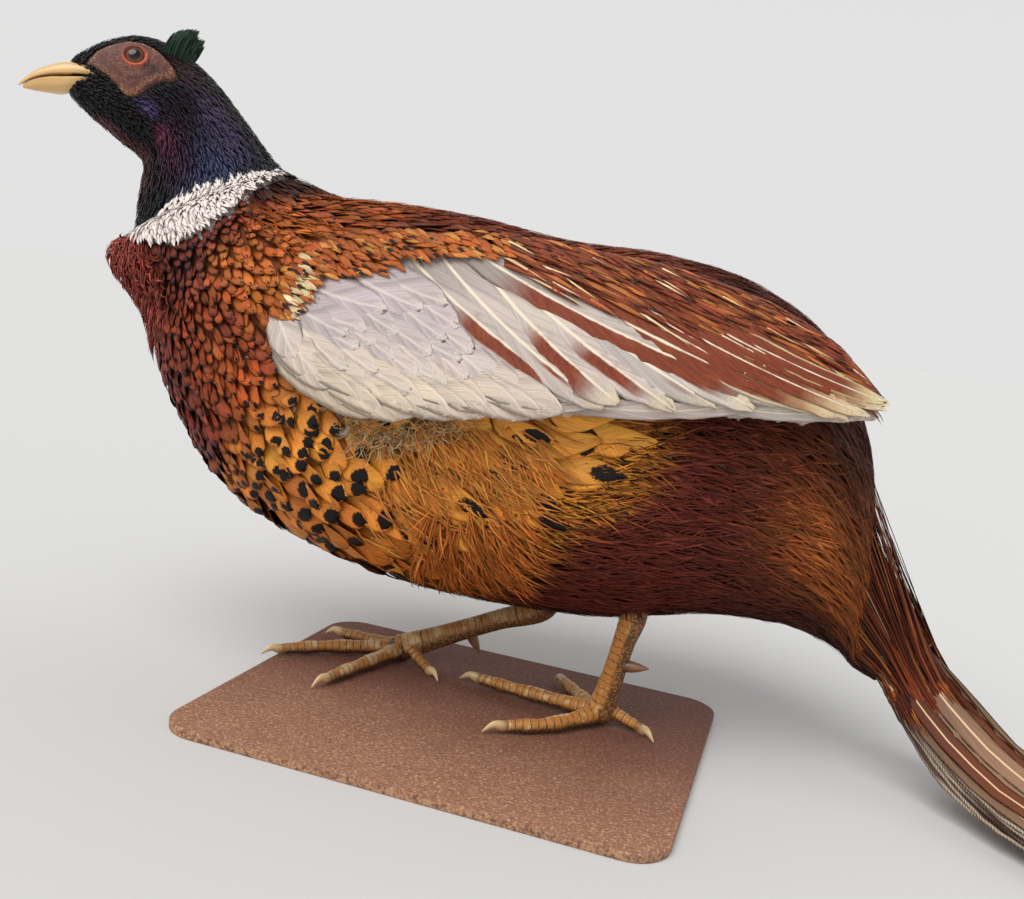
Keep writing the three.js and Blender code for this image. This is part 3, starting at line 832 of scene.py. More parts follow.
def remeshed(mesh, voxel):
    """The mesh as one closed shell of even faces."""
    piece = bpy.data.objects.new("shell", mesh)
    bpy.context.scene.collection.objects.link(piece)
    change = piece.modifiers.new("shell", "REMESH")
    change.mode, change.voxel_size = "VOXEL", voxel
    made = bpy.data.meshes.new_from_object(piece.evaluated_get(bpy.context.evaluated_depsgraph_get()))
    bpy.data.objects.remove(piece)
    return made


def positions(mesh, key="co"):
    """The places of a mesh's vertices, or their normals."""
    values = np.empty(len(mesh.vertices) * 3, "f")
    mesh.vertices.foreach_get(key, values)
    return values.reshape(-1, 3).astype(float)


def tree_of(points):
    """The points, ready for finding the nearest to a place."""
    tree = KDTree(len(points))
    for number, place in enumerate(points):
        tree.insert(place, number)
    tree.balance()
    return tree


def relax(bm, passes):
    """Smooth out a remeshed shell's small steps."""
    for _ in range(passes):
        bmesh.ops.smooth_vert(
            bm, verts=bm.verts, factor=0.5, use_axis_x=True, use_axis_y=True, use_axis_z=True
        )


def bird_frame(points):
    """World metres to the bird's millimetres."""
    p = np.asarray(points) / MM - STANCE
    c, s = math.cos(YAW), math.sin(YAW)
    return np.stack([p[..., 0] * c + p[..., 1] * s, p[..., 1] * c - p[..., 0] * s, p[..., 2]], -1)


def skin():
    """One skin for all the flesh, inside the feathers by the coat's depth."""
    bm = bmesh.new()
    for node in FLESH:
        start = len(bm.verts)
        bm.from_mesh(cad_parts[node].data)
        bm.verts.ensure_lookup_table()
        bmesh.ops.remove_doubles(bm, verts=bm.verts[start:], dist=1e-6)
    bm.normal_update()
    for vert in bm.verts:
        vert.co += vert.normal * (SWELL * MM)
    mesh = bpy.data.meshes.new("flesh")
    bm.to_mesh(mesh)
    bm.free()
    made = remeshed(mesh, SKIN_VOXEL)
    bm = bmesh.new()
    bm.from_mesh(made)
    relax(bm, 4)
    bm.normal_update()
    grid_s, grid_a = np.meshgrid(np.linspace(0, BODY_END, 140), np.arange(-180, 180, 4.0), indexing="ij")
    tree = tree_of(body_point(grid_s, grid_a).reshape(-1, 3))
    points = bird_frame(np.array([v.co for v in bm.verts]))
    nearest = np.array([tree.find(p)[1:] for p in points])
    spot = nearest[:, 0].astype(int)
    station, angle = grid_s.ravel()[spot], grid_a.ravel()[spot]
    depth = np.interp(station, *zip(*COAT_DEPTH))
    on_wing = (nearest[:, 1] > WING_STANDS_OUT) & (points[:, 2] > WING_LOWEST)
    depth = np.where(on_wing, np.interp(points[:, 0], *WING_DEPTH), depth)
    depth = np.where(points[:, 2] < THIGH_TOP, THIGH_DEPTH, depth)
    for vert, inward in zip(bm.verts, depth):
        vert.co -= vert.normal * inward * MM
    bm.to_mesh(made)
    bm.free()
    base = coat_paint(station, angle)
    base *= np.where(ring_share(station, angle) == 1, 1.0, SHADED)[:, None]
    base[on_wing] = colour("#d8cabc")
    shoulder = points[:, 2] > np.interp(points[:, 0], SHOULDER_X, SHOULDER_Z) - 4
    base[on_wing & shoulder] = colour("#6a2c14")
    write_points(made, "base", base)
    made.shade_smooth()
    show("skin", made, skin_material(), FLESH)


skin()

# ---- the coat, from the bill to the tail ----


def bare(s, a):
    """Where no head feather may root: the face, and just in front of it."""
    ahead = np.where(s < 1.2, 0.28, 0.05)
    return within(s, np.abs(a), FACE) | within(s + ahead, np.abs(a), FACE)


def below_ring(s, a):
    """Past the foot of the white ring, or just short of it."""
    return ring_share(s + 0.1, a) == 2


def is_flank(s, a):
    """The golden flank, between the copper breast and the maroon behind."""
    return (s > 9.5) & (s < gold_end(a) - 0.45) & (np.abs(a) > 84) & (np.abs(a) < 158)


def is_ruff(s, a):
    """The loose ruff in front, under the ring."""
    return (s < 8.25) & (np.abs(a) > 114)


def breast_gap(s, _a):
    """Distance between the breast's feathers: finest under the ring."""
    return np.interp(s, [6.5, 8, 10, 12], [2.3, 2.7, 3.5, 4.6])


def flank_gap(s, _a):
    """Distance between the flank's feathers: they widen towards the tail."""
    return np.interp(s, [9.5, 10.1, 10.7, 12], [4.2, 5.6, 9.0, 9.5])


coat_feathers(
    "head_feathers", 11, head_and_neck_paint, lambda s, a, p: ~bare(s, a),
    0.95, 4.4, 0.62, SHORT, neck_feather, "head_plumage", (0.02, 3.6),
    tries=90000, sink=0.7, lift=0.1, ruffle=0.12, columns=3, tone=0.18, jag=0.3,
)  # fmt: skip
coat_feathers(
    "neck_feathers", 12, head_and_neck_paint, lambda s, a, p: (s > 3.4) & (ring_share(s, a) == 0),
    1.15, 6.5, 0.55, SHORT, neck_feather, "neck_plumage", (3.3, 6.6),
    tries=150000, sink=1.0, lift=0.25, ruffle=0.16, columns=3, tone=0.14, jag=0.5,
)  # fmt: skip
coat_feathers(
    "ring_feathers", 13, ring_paint, lambda s, a, p: (ring_share(s + 0.32, a) == 1) & (s > 5.3),
    1.05, 8.0, 1.35, POINTED, ring_feather, "neck_plumage", (5.2, 7.8),
    tries=80000, sink=0.8, lift=0.6, ruffle=0.2, columns=3, tone=0.03, arch=0.2, jag=0.7,
)  # fmt: skip
coat_feathers(
    "breast_feathers", 14, body_paint,
    lambda s, a, p: below_ring(s, a) & (s < 10.6) & (np.abs(a) > 60) & ~is_flank(s, a) & ~under_wing(p),
    breast_gap, lambda s, a: 2.9 * breast_gap(s, a), lambda s, a: 0.7 * breast_gap(s, a),
    ROUND, body_feather, "body_plumage", (6.2, 10.7), tries=120000, sink=1.6, lift=0.15, tone=0.24,
    ruffle=0.22, columns=5, arch=0.1, jag=0.5,
)  # fmt: skip
coat_feathers(
    "ruff_plumes", 20, body_paint, lambda s, a, p: below_ring(s, a) & is_ruff(s, a),
    1.5, 11, 0.6, HAIR, plume, "body_plumage", (6.1, 8.4),
    tries=60000, sink=1.0, lift=2.3, ruffle=0.45, columns=3, tone=0.28, arch=0.3, jag=1.2, curl=0.5,
)  # fmt: skip
coat_feathers(
    "mantle_feathers", 15, body_paint,
    lambda s, a, p: below_ring(s, a) & (s < 12.2) & ~under_wing(p) & (np.abs(a) <= 64),
    3.9, 16, 2.6, POINTED, body_feather, "body_plumage", (6.2, 12.3),
    tries=90000, sink=2.2, lift=0.3, tone=0.24, ruffle=0.16, jag=0.6,
)  # fmt: skip
coat_feathers(
    "flank_feathers", 16, body_paint, lambda s, a, p: is_flank(s, a) & ~under_wing(p, -4),
    flank_gap, lambda s, a: 2.7 * flank_gap(s, a), lambda s, a: 0.85 * flank_gap(s, a),
    BROAD, body_feather, "body_plumage", (9.4, 12.4), sink=3.0, lift=0.4, tone=0.16,
    ruffle=0.2, columns=11, arch=0.1, jag=0.8, swerve=0.15,
    spotted=lambda s, a: np.interp(s, [9.8, 10.4, 10.8, 11.3], [1, 0.85, 0.4, 0.25]),
)  # fmt: skip
coat_feathers(
    "belly_feathers", 17, body_paint,
    lambda s, a, p: (s > 10.4) & (s < 13.6) & ~is_flank(s, a) & ~under_wing(p) & (np.abs(a) > 80),
    3.6, 16, 1.25, POINTED, plume, "body_plumage", (10.3, 13.7), sink=1.8, lift=0.3, ruffle=0.25,
    columns=3, jag=1.0,
)  # fmt: skip
coat_feathers(
    "rump_feathers", 18, body_paint, lambda s, a, p: ~under_wing(p),
    3.8, 20, 1.25, POINTED, plume, "body_plumage", (11.8, 16.9),
    sink=1.8, lift=0.4, ruffle=0.2, tone=0.22, jag=1.5, columns=3,
)  # fmt: skip
coat_feathers(
    "rump_plumes", 19, body_paint,
    lambda s, a, p: ~under_wing(p) & (s > np.where(np.abs(a) > 80, gold_end(a) - 0.45, 12.0)),
    2.08, 24, 0.38, HAIR, plume, "body_plumage", (10.9, 17.0),
    tries=200000, sink=0.8, lift=0.9, ruffle=0.2, columns=3, tone=0.3, arch=0.4, curl=0.25,
)  # fmt: skip
coat_feathers(
    "back_plumes", 21, body_paint,
    lambda s, a, p: below_ring(s, a) & ~under_wing(p) & (np.abs(a) < 66),
    2.6, 17, 0.42, HAIR, plume, "body_plumage", (6.4, 12.2),
    tries=90000, sink=0.8, lift=0.8, ruffle=0.16, columns=3, tone=0.35, arch=0.4, curl=0.15,
)  # fmt: skip


def streaky(base, mark, form, streak, often, amount):
    """A paint of one colour, crossed by streaks of another."""

    def paint(station, angle):
        p = Paint(station, angle)
        p.lay(1, base, mark, form)
        p.lay(amount * np.abs(np.sin(p.s * often)), streak)
        return p

    return paint


HAIR_BLACK = "#0f0806"
gold_paint = streaky("#eaa04a", HAIR_BLACK, (0, 0, 0.2), "#c8702a", 91, 0.8)
lock_paint = streaky("#e0873a", HAIR_BLACK, (0, 0, 0.2), "#a34f1c", 73, 0.8)
down_paint = streaky("#a8703c", EDGE_BLACK, (0, 0, 0), "#f0cc98", 57, 1)


def long_flank_paint(station, angle):
    """Gold with a dark spot at the tip and a pale shaft."""
    p = Paint(station, angle)
    p.lay(1, "#dc9238", HAIR_BLACK, (0.0, 0.5, 0.4))
    return p


def clumped(station, angle):
    """A turn, in radians, that draws neighbouring hairs together into locks."""
    return 0.3 * np.sin(45 * station + 0.3 * np.abs(angle))


# Under the wing's edge the flank feathers are long, split into golden hair, with down at their roots.
coat_feathers(
    "long_flank_feathers", 22, long_flank_paint,
    lambda s, a, p: (np.abs(a) > 86) & (np.abs(a) < 140) & (s < gold_end(a) - 0.55), 12.0,
    lambda s, a: np.interp(np.abs(a), [90, 130], [44, 30]), 6.5, LEAF, body_feather,
    "body_plumage", (10.8, 11.5), sink=2.0, lift=1.0, ruffle=0.14, columns=11, tone=0.12, arch=0.1,
    jag=1.2, swerve=lambda s, a: np.interp(np.abs(a), [88, 110], [0.03, 0.4]), spotted=0.7,
)  # fmt: skip
coat_feathers(
    "golden_plumes", 23, gold_paint,
    lambda s, a, p: (np.abs(a) > np.interp(s, [10.6, 11.4], [88, 84])) & (np.abs(a) < 136),
    lambda s, a: np.interp(np.abs(a), [86, 105, 122, 136], [1.5, 2.0, 4.5, 7.0]),
    lambda s, a: np.interp(np.abs(a), [90, 125], [28, 18]), 0.6, HAIR, plume,
    "body_plumage", (10.75, 11.5), tries=40000, sink=0.3, lift=1.7, ruffle=0.1, columns=3, tone=0.22,
    curl=0.1, swerve=lambda s, a: np.interp(np.abs(a), [86, 125], [0.75, 0.3]) + clumped(s, a),
)  # fmt: skip
coat_feathers(
    "golden_locks", 25, lock_paint, lambda s, a, p: (np.abs(a) > 106) & (np.abs(a) < 134),
    1.7, lambda s, a: np.interp(s, [11.2, 11.6], [30, 22]), 0.5, HAIR, plume, "body_plumage",
    (11.15, 11.6), tries=40000, sink=0.3, lift=3.4, ruffle=0.08, columns=3, tone=0.25, curl=0.08,
    swerve=lambda s, a: np.interp(s, [11.2, 11.6], [1.3, 0.5]) + clumped(s, a),
)  # fmt: skip
coat_feathers(
    "down_plumes", 24, down_paint,
    lambda s, a, p: (np.abs(a) > 86) & (np.abs(a) < np.interp(s, [10.2, 10.6, 11.1], [92, 104, 90])),
    0.75, 8, 0.2, HAIR, plume, "body_plumage", (10.2, 11.15), tries=60000, sink=0.2, lift=2.2,
    ruffle=0.6, columns=3, tone=0.25, curl=1.5, swerve=0.5,
)  # fmt: skip

# ---- wings ----


def along_wing(start, end, side, rows, sink, lift, sag=0.0):
    """Midlines on the outer face of a wing, from start to end, given as (x, z)."""
    lines, normals = [], []
    bow = np.stack([end[:, 1] - start[:, 1], start[:, 0] - end[:, 0]], -1) * sag
    for v in rows:
        x, z = (start + (end - start) * v + bow * (4 * v * (1 - v))).T
        point, normal, _, _ = wing_frame(x, z, side)
        height = -sink + (lift + sink) * smooth(v, 0, 0.6)
        lines.append(point + normal * np.asarray(height)[..., None])
        normals.append(normal)
    return np.stack(lines, 1), np.stack(normals, 1)


def backward(fall, long):
    """Steps along the wing's face at an angle to the level, as (x, z)."""
    return np.stack([np.cos(fall), np.sin(fall)], -1) * long[:, None]


# The outline of the pale panel on the wing, as (x, z).
PANEL = [
    (-96, 152), (-84, 152), (-79, 160), (-75, 170), (-64, 172), (-47, 174), (-43, 180), (-36, 178),
    (-28, 168), (-13, 154), (1, 147), (14, 139), (2, 132), (-18, 130), (-50, 126), (-71, 129),
    (-87, 134), (-96, 143),
]  # fmt: skip
PANEL_HIDDEN = 12  # how far below the wing's upper edge the panel's feathers root
PANEL_FRONT = -97  # the foremost x of their roots


def covert_panel(name, side, seed):
    """The pale panel of long overlapping coverts."""
    rng = np.random.default_rng(seed)
    x, z = np.meshgrid(np.arange(-134, 40, 17.0), np.arange(122, 214, 6.2))
    x = x + np.where(np.arange(len(x)) % 2, 8.5, 0.0)[:, None]
    root = np.stack([x.ravel(), z.ravel()], -1) + rng.normal(0, 0.9, (x.size, 2))
    fall = np.radians(np.interp(root[:, 1], [130, 180], [-17, -34]) + rng.normal(0, 2, len(root)))
    long = rng.normal(52, 2, len(root))
    tip = root + backward(fall, long)
    seen = root * 0.35 + tip * 0.65
    kept = within(seen[:, 0], seen[:, 1], PANEL)
    root, tip = root[kept], tip[kept]
    order = np.argsort(-root[:, 0])
    root, tip = root[order], tip[order]
    tip[:, 1] = np.maximum(tip[:, 1], wing_edges(tip[:, 0])[2] + 1.5)
    root[:, 0] = np.maximum(root[:, 0], PANEL_FRONT)
    root[:, 1] = np.minimum(root[:, 1], wing_edges(root[:, 0])[4] - PANEL_HIDDEN)
    rows = np.array([0, 0.12, 0.3, 0.5, 0.7, 0.84, 0.93, 0.98, 1.0])
    widths = np.array([0.5, 0.8, 0.95, 1.0, 0.95, 0.8, 0.55, 0.3, 0.1])
    n = len(root)
    lift = 1.0 + 0.5 * np.linspace(0, 1, n)
    line, normal = along_wing(root, tip, side, rows, 1.5, lift, 0.05)
    half = uneven(rng, 8.0 * widths, 0.02, n)
    shade = np.interp(tip[:, 1], [128, 146], [1.0, 0.0])[:, None]
    base = colour("#b9aaa9") * (1 - shade) + colour("#d6c4ae") * shade
    coat = Feathers(name, 9)
    coat.add(
        line, normal, half, rows, vary(rng, base, 0.035), evenly("#ddd0c4", n),
        np.broadcast_to([0.04, 0, 0.4], (n, 3)), root, 0.06, rng.normal(0, 0.5, (n, 9)),
    )  # fmt: skip
    return coat


BOTH_WEBS = 0.25  # added to a feather's lens share when the lens takes both its webs


def flight_material():
    """A long wing feather: a pale vane, a rufous lens along its lower web and cream margins."""
    made, t, sockets = material("flight_feather", 0.5, Specular_IOR_Level=0.25)
    out = t.use(
        VANE,
        Base=t.attribute("base"),
        Mark=t.attribute("mark"),
        Form=(0.05, 0, 0.9),
        Pale=colour("#efe0c6"),
        Barbs=150.0,
    )
    u, v, _ = t.split(t.uv("vane"))
    hand, start, wide = t.split(t.attribute("form"))
    signed = t.times(t.scaled(u, 2.0, -1.0), t.scaled(hand, 2.0, -1.0))
    wander = t.less(t.noise(t.place(), 120.0, 5.0, 0.65), 0.5)
    both = t.math("GREATER_THAN", wide, 1.0)
    wide = t.scaled(both, -BOTH_WEBS, wide)
    lower = t.times(signed, -1.0)
    lower = t.most(lower, t.times(t.size_of(signed), both))
    low = t.plus(lower, t.times(wander, 0.22))
    web = t.times(t.step(low, 0.0, 0.1), t.step(low, wide, t.less(wide, 0.14)))
    along = t.plus(v, t.times(wander, 0.1))
    span = t.times(t.step(along, start, t.plus(start, 0.16)), t.step(along, 0.95, 0.78))
    lens = t.times(web, span)
    slant = t.scaled(signed, 2.5, t.times(v, 26.0))
    flecks = t.noise(t.join(slant, t.times(signed, 1.5)), 1.6, 4.0, 0.6)
    rufous = t.mix(t.step(flecks, 0.25, 0.75), colour("#6b2917"), colour("#8c4222"))
    t.feed(sockets["Base Color"], t.mix(lens, out["Color"], rufous))
    bump(t, sockets, out["Height"], 0.4)
    return made


flight = flight_material()

# The long feathers from the lowest up: root x, z, tip x, z, half width, how far down the
# rufous lens starts, and how much of the lower web it takes.
FLIGHT = [
    (-30, 131, 44, 140, 4, 0.99, 0.0),
    (20, 136.5, 100, 147, 4, 0.99, 0.0),
    (70, 144, 140, 149.5, 3, 0.99, 0.0),
    (-74, 139, 6, 134, 6, 0.99, 0.0),
    (-70, 152, 16, 136, 7.5, 0.99, 0.0),
    (-66, 174, 24, 137, 8, 0.40, 0.45),
    (-52, 190, 35, 139, 8.5, 0.34, 0.7),
    (-38, 190, 41, 139, 8.5, 0.62, 0.3),
    (-22, 190, 48, 139, 9.5, 0.44, 0.98),
    (-14, 190, 66, 141, 9, 0.48, 0.65),
    (-6, 190, 80, 143, 8.5, 0.75, 0.4),
    (2, 190, 94, 145, 8, 0.52, 0.65),
    (-26, 191, 108, 147, 8, 0.12, 0.98),
    (-6, 191, 118, 146, 7.5, 0.04, 1.1),
    (8, 191, 127, 146, 7, 0.04, 1.3),
    (14, 191, 131, 147, 4, 0.04, 1.05),
    (20, 190, 134, 147, 6, 0.04, 1.3),
    (30, 189, 140, 148, 4.5, 0.04, 1.05),
    (40, 187, 144, 150, 6, 0.04, 1.3),
    (52, 184, 145, 152, 5, 0.02, 1.15),
]  # fmt: skip


def flight_feathers(name, side, seed):
    """The long feathers of the folded wing; each lies over the one below."""
    rng = np.random.default_rng(seed)
    table = np.array(FLIGHT, float)
    n = len(table)
    root = table[:, :2] + rng.normal(0, 0.8, (n, 2))
    tip = table[:, 2:4] + rng.normal(0, 0.8, (n, 2))
    rows = np.concatenate([np.linspace(0, 0.9, 16), [0.94, 0.97, 0.99, 1.0]])
    widths = np.interp(rows, [0, 0.1, 0.5, 0.85, 0.94, 1.0], [0.5, 0.85, 1.0, 0.8, 0.55, 0.1])
    line, normal = along_wing(root, tip, side, rows, 1.5, 0.2, 0.04)
    line += normal * (0.14 * np.arange(n))[:, None, None]
    half = uneven(rng, table[:, 4:5] * widths, 0.03, n)
    notch = (rng.uniform(0, 1, (n, len(rows))) < 0.12) & (rows > 0.4)
    half = np.where(notch, half * 0.86, half)
    cream = smooth(np.arange(n), n - 8, n - 6)[:, None]
    base = colour("#c6b8ae") * (1 - cream) + colour("#d9bb8a") * cream
    form = np.stack([np.full(n, 1.0 if side == LEFT else 0.0), table[:, 5], table[:, 6]], -1)
    coat = Feathers(name, 11)
    coat.add(
        line, normal, half, rows, vary(rng, base, 0.07), evenly("#e3cfae", n), form, root, 0.07,
        rng.normal(0, 1.1, (n, 11)),
    )  # fmt: skip
    return coat


def shoulder_feathers(name, side, seed):
    """Orange-brown lesser coverts and scapulars over the wing's bend and upper edge."""
    rng = np.random.default_rng(seed)
    count = 9000
    x, share = rng.uniform(-101, 30, count), rng.uniform(0.02, 1.0, count)
    _, _, low_z, _, high_z, _ = wing_edges(x)
    z = low_z + (high_z - low_z) * share
    fall = np.radians(rng.normal(-22, 9, count))
    long = rng.normal(13, 1.2, count)
    way = backward(fall, long)
    foot = np.interp(x + way[:, 0] * 0.8, SHOULDER_X, SHOULDER_Z)
    fits = z + way[:, 1] * 0.8 > foot
    x, z, way = x[fits], z[fits], way[fits]
    chosen = spaced(wing_point(x, z, side), np.full(len(x), 2.2))
    root = np.stack([x[chosen], z[chosen]], -1)
    n = len(root)
    tip = root + way[chosen]
    rows, widths = LEAF
    line, normal = along_wing(root, tip, side, rows, 1.5, 1.7)
    half = uneven(rng, 1.5 * widths, 0.06, n)
    base = evenly("#a4521d", n)
    base[rng.uniform(0, 1, n) < 0.2] = colour("#c07c36")
    bend = np.exp(-(((root[:, 0] + 93) / 7) ** 2) - ((root[:, 1] - 166) / 15) ** 2)
    base[bend > rng.uniform(0.3, 1.3, n)] = colour("#c9b286")
    tick = np.where(rng.uniform(0, 1, n) < 0.14, 0.5, 0.0)
    form = np.stack([np.zeros(n), tick, np.full(n, 0.2)], -1)
    coat = Feathers(name, 5)
    coat.add(
        line, normal, half, rows, vary(rng, base, 0.18), evenly("#240d06", n), form, root, 0.12,
        rng.normal(0, 0.6, (n, 5)),
    )  # fmt: skip
    return coat


def upper_wing_feathers(name, side, seed):
    """Streaked mahogany feathers over the wing's upper edge, cream-edged lower down."""
    rng = np.random.default_rng(seed)
    count = 6000
    x = rng.uniform(-16, 122, count)
    high_z = wing_edges(x)[4]
    foot = np.interp(x, [-16, 20, 60, 100, 128], [186, 184, 176, 165, 160])
    z = rng.uniform(foot, np.maximum(high_z + 2, foot + 1))
    chosen = spaced(wing_point(x, z, side), np.full(count, 2.5))
    root = np.stack([x[chosen], z[chosen]], -1)
    n = len(root)
    low = smooth(foot[chosen] + 9 - root[:, 1], 0, 8)
    fall = np.radians(np.maximum(rng.normal(-21, 4, n), -26))
    long = rng.normal(24, 3, n) * (1 + 0.6 * low)
    tip = root + backward(fall, long)
    tip[:, 0] = np.minimum(tip[:, 0], 141)
    tip[:, 1] = np.minimum(tip[:, 1], wing_edges(tip[:, 0])[4])
    rows, widths = POINTED
    line, normal = along_wing(root, tip, side, rows, 1.0, 2.3)
    pale = rng.uniform(0, 1, n) < 0.04 + 0.2 * low
    slim = np.where(pale, 0.6, 1.35)
    half = uneven(rng, slim[:, None] * widths, 0.06, n)
    base = evenly("#7a3216", n)
    base[rng.uniform(0, 1, n) < 0.2] = colour("#a8602c")
    base[pale] = colour("#e0c698")
    form = np.stack([np.where(pale, 0, 0.12), np.zeros(n), np.full(n, 0.3)], -1)
    coat = Feathers(name, 5)
    coat.add(
        line, normal, half, rows, vary(rng, base, 0.2), evenly("#34120a", n), form, root, 0.12,
        rng.normal(0, 1.2, (n, 5)),
    )  # fmt: skip
    return coat


# What each layer of a wing is called, its maker, first seed, material and slot, from the lowest up.
WING_LAYERS = [
    ("panel", covert_panel, 31, covert, "wing_coverts"),
    ("flight", flight_feathers, 41, flight, "flight_feathers"),
    ("shoulder", shoulder_feathers, 51, body_feather, "wing_coverts"),
    ("upper", upper_wing_feathers, 61, body_feather, "wing_coverts"),
]
for number, (word, side) in enumerate(SIDES.items()):
    for layer, make, seed, look, slot in WING_LAYERS:
        make(f"wing_{word}_{layer}", side, seed + number).build(look, slot)

# ---- tail ----

# The crest of the tail from its root to its end: x, y, z.
TAIL_RIDGE = [
    (176, -2, 58.5), (195, -14, 41.5), (214, -30, 27.5), (237, -51, 18.5),
    (268, -75, 14.5), (340, -120, 11.5), (440, -176, 8), (580, -248, 4.8),
]  # fmt: skip
TAIL_LENGTHS = (430, 395, 325, 250, 180)
TAIL_WIDTH, TAIL_PITCH, TAIL_BOW, TAIL_TILT = 30.0, 1.6, 0.004, math.radians(50)
TAIL_COLUMNS = 13  # points across one feather
TAIL_OVER, TAIL_GAP = 0.15, 0.2  # how far each lies over its blade, and off the ridge
FLOOR = -STANCE[2]

ridge_fine = flow(TAIL_RIDGE, np.linspace(0, len(TAIL_RIDGE) - 1, 1500))
ridge_run = run_along(ridge_fine)


def tail_material():
    """Reddish-brown vanes with long dark streaks, orange and cream shafts and a mauve fringe."""
    made, t, sockets = material("tail_feather", 0.55, Specular_IOR_Level=0.25)
    u, v, _ = t.split(t.uv("vane"))
    length, hand, shade = t.split(t.attribute("form"))
    out = t.size_of(t.less(t.less(1.0, hand), u))
    run = t.times(v, length)
    wander = t.less(t.noise(t.place(), 60.0, 3.0), 0.5)
    place = t.plus(out, t.times(wander, 0.1))
    streaks = t.noise(t.join(t.times(out, 16.0), t.times(run, 12.0), t.times(shade, 900.0)), 1.5, 4.0)
    fine = t.noise(t.join(t.times(out, 60.0), t.times(run, 26.0)), 1.5, 3.0)
    brown = t.mix(t.step(streaks, 0.38, 0.62), colour("#472314"), colour("#7c4426"))
    mauve = t.mix(t.step(streaks, 0.35, 0.65), colour("#54382f"), colour("#84695d"))
    web = t.mix(t.step(place, 0.66, 0.78), brown, mauve)
    web = t.mix(t.times(t.step(fine, 0.55, 0.66), 0.85), web, colour("#1b0e0a"))
    bars = t.sine(t.times(t.plus(t.plus(run, t.times(out, -0.02)), t.times(wander, 0.02)), 190.0))
    barred = t.times(t.step(bars, 0.86, 0.97), t.step(place, 0.34, 0.2))
    web = t.mix(t.times(barred, 0.8), web, colour("#170c09"))

    def stripe(at, half):
        """A soft line down the feather, at a share of its width out from the ridge."""
        off = t.size_of(t.less(place, at))
        return t.step(off, half, half * 0.35)

    web = t.mix(t.times(stripe(0.5, 0.07), t.step(fine, 0.3, 0.5)), web, colour("#140a08"))
    web = t.mix(t.times(stripe(0.18, 0.08), t.step(streaks, 0.3, 0.45)), web, colour("#e2bf93"))
    web = t.mix(stripe(0.61, 0.07), web, colour("#c98745"))
    web = t.mix(stripe(0.625, 0.026), web, colour("#e8b878"))
    web = t.mix(t.times(stripe(0.98, 0.035), t.step(streaks, 0.35, 0.55)), web, colour("#d9c5ad"))
    barbs = t.sine(t.times(t.less(run, t.times(out, 0.03)), 5200.0))
    tone = t.scaled(barbs, 0.03, t.step(fine, 0.2, 0.8, 0.85, 1.15))
    t.feed(sockets["Base Color"], t.toned(web, tone))
    bump(t, sockets, t.plus(barbs, t.times(streaks, 2.0)), 0.3)
    return made


tail = tail_material()


def ridge_point(run):
    """Points of the tail's crest at a run from its root."""
    return np.stack([np.interp(run, ridge_run, ridge_fine[:, i]) for i in range(3)], -1)


def roof_ways(line, along, side):
    """The ways down one side of the tail's roof and out of its face; it lies flatter near the floor."""
    lateral = unit(np.cross(along, np.array([0, 0, -1.0]) * side))
    up = unit(np.cross(lateral, along) * -side)
    height = line[..., 2] - FLOOR - len(TAIL_LENGTHS) * TAIL_PITCH
    tilt = (TAIL_TILT * np.tanh(height / TAIL_WIDTH / TAIL_TILT))[..., None]
    return lateral * np.cos(tilt) - up * np.sin(tilt), lateral * np.sin(tilt) + up * np.cos(tilt)


def tail_roof(run, across, side, lift):
    """Points of the tail's upper face at a run from its root, a distance out from the ridge."""
    line = ridge_point(run)
    down, face = roof_ways(line, unit(ridge_point(run + 2) - line), side[..., None])
    return line + down * across[..., None] + face * lift[..., None], face


def tail_feather(word, side, pair):
    """One long feather of the roof, over its CAD blade, with its map laid out flat."""
    length = TAIL_LENGTHS[pair]
    rows = np.linspace(0.012, 1, 70)
    line = ridge_point(rows * length)
    down, face = roof_ways(line, unit(np.gradient(line, axis=0)), side)
    rng = np.random.default_rng(70 + pair * 2 + (side > 0))
    width = TAIL_WIDTH * np.minimum(1, 0.72 + rows) * np.clip(1 - rows**3, 0, 1) ** 0.8
    width = np.maximum(width, 1.5) * np.exp(rng.normal(0, 0.006, len(rows)))
    a = np.linspace(0, 1, TAIL_COLUMNS)
    reach = width[:, None] * a
    arch = TAIL_BOW * reach * (TAIL_WIDTH - reach)
    crease = 0.5 * np.exp(-(((a - 0.42) / 0.08) ** 2))
    level = -pair * TAIL_PITCH + TAIL_OVER
    points = (
        line[:, None]
        + down[:, None] * (reach + TAIL_GAP)[..., None]
        + face[:, None] * (arch + crease + level)[..., None]
    )
    coat = Feathers(f"tail_vane_{word}_{pair + 1}", TAIL_COLUMNS)
    form = [length * MM, side > 0, pair * 0.37 % 1 * 0.01]
    none = np.zeros((1, 3))
    coat.add(
        points[None, :, TAIL_COLUMNS // 2], face[None], width[None] / 2, rows, none, none,
        np.array([form]), np.zeros((1, 2)), 0.0,
    )  # fmt: skip
    coat.verts = [(points if side > 0 else points[:, ::-1]).reshape(-1, 3)]
    flat = np.stack([np.tile(a, len(rows)), np.repeat(rows, TAIL_COLUMNS)], -1)
    coat.bake = [(flat[None, None], np.zeros((1, 1, 1, 2)))]
    coat.build(tail, "tail_feathers", [f"tail_feather_{word}_{pair + 1}"])


for word, side in SIDES.items():
    for pair in range(len(TAIL_LENGTHS)):
        tail_feather(word, side, pair)


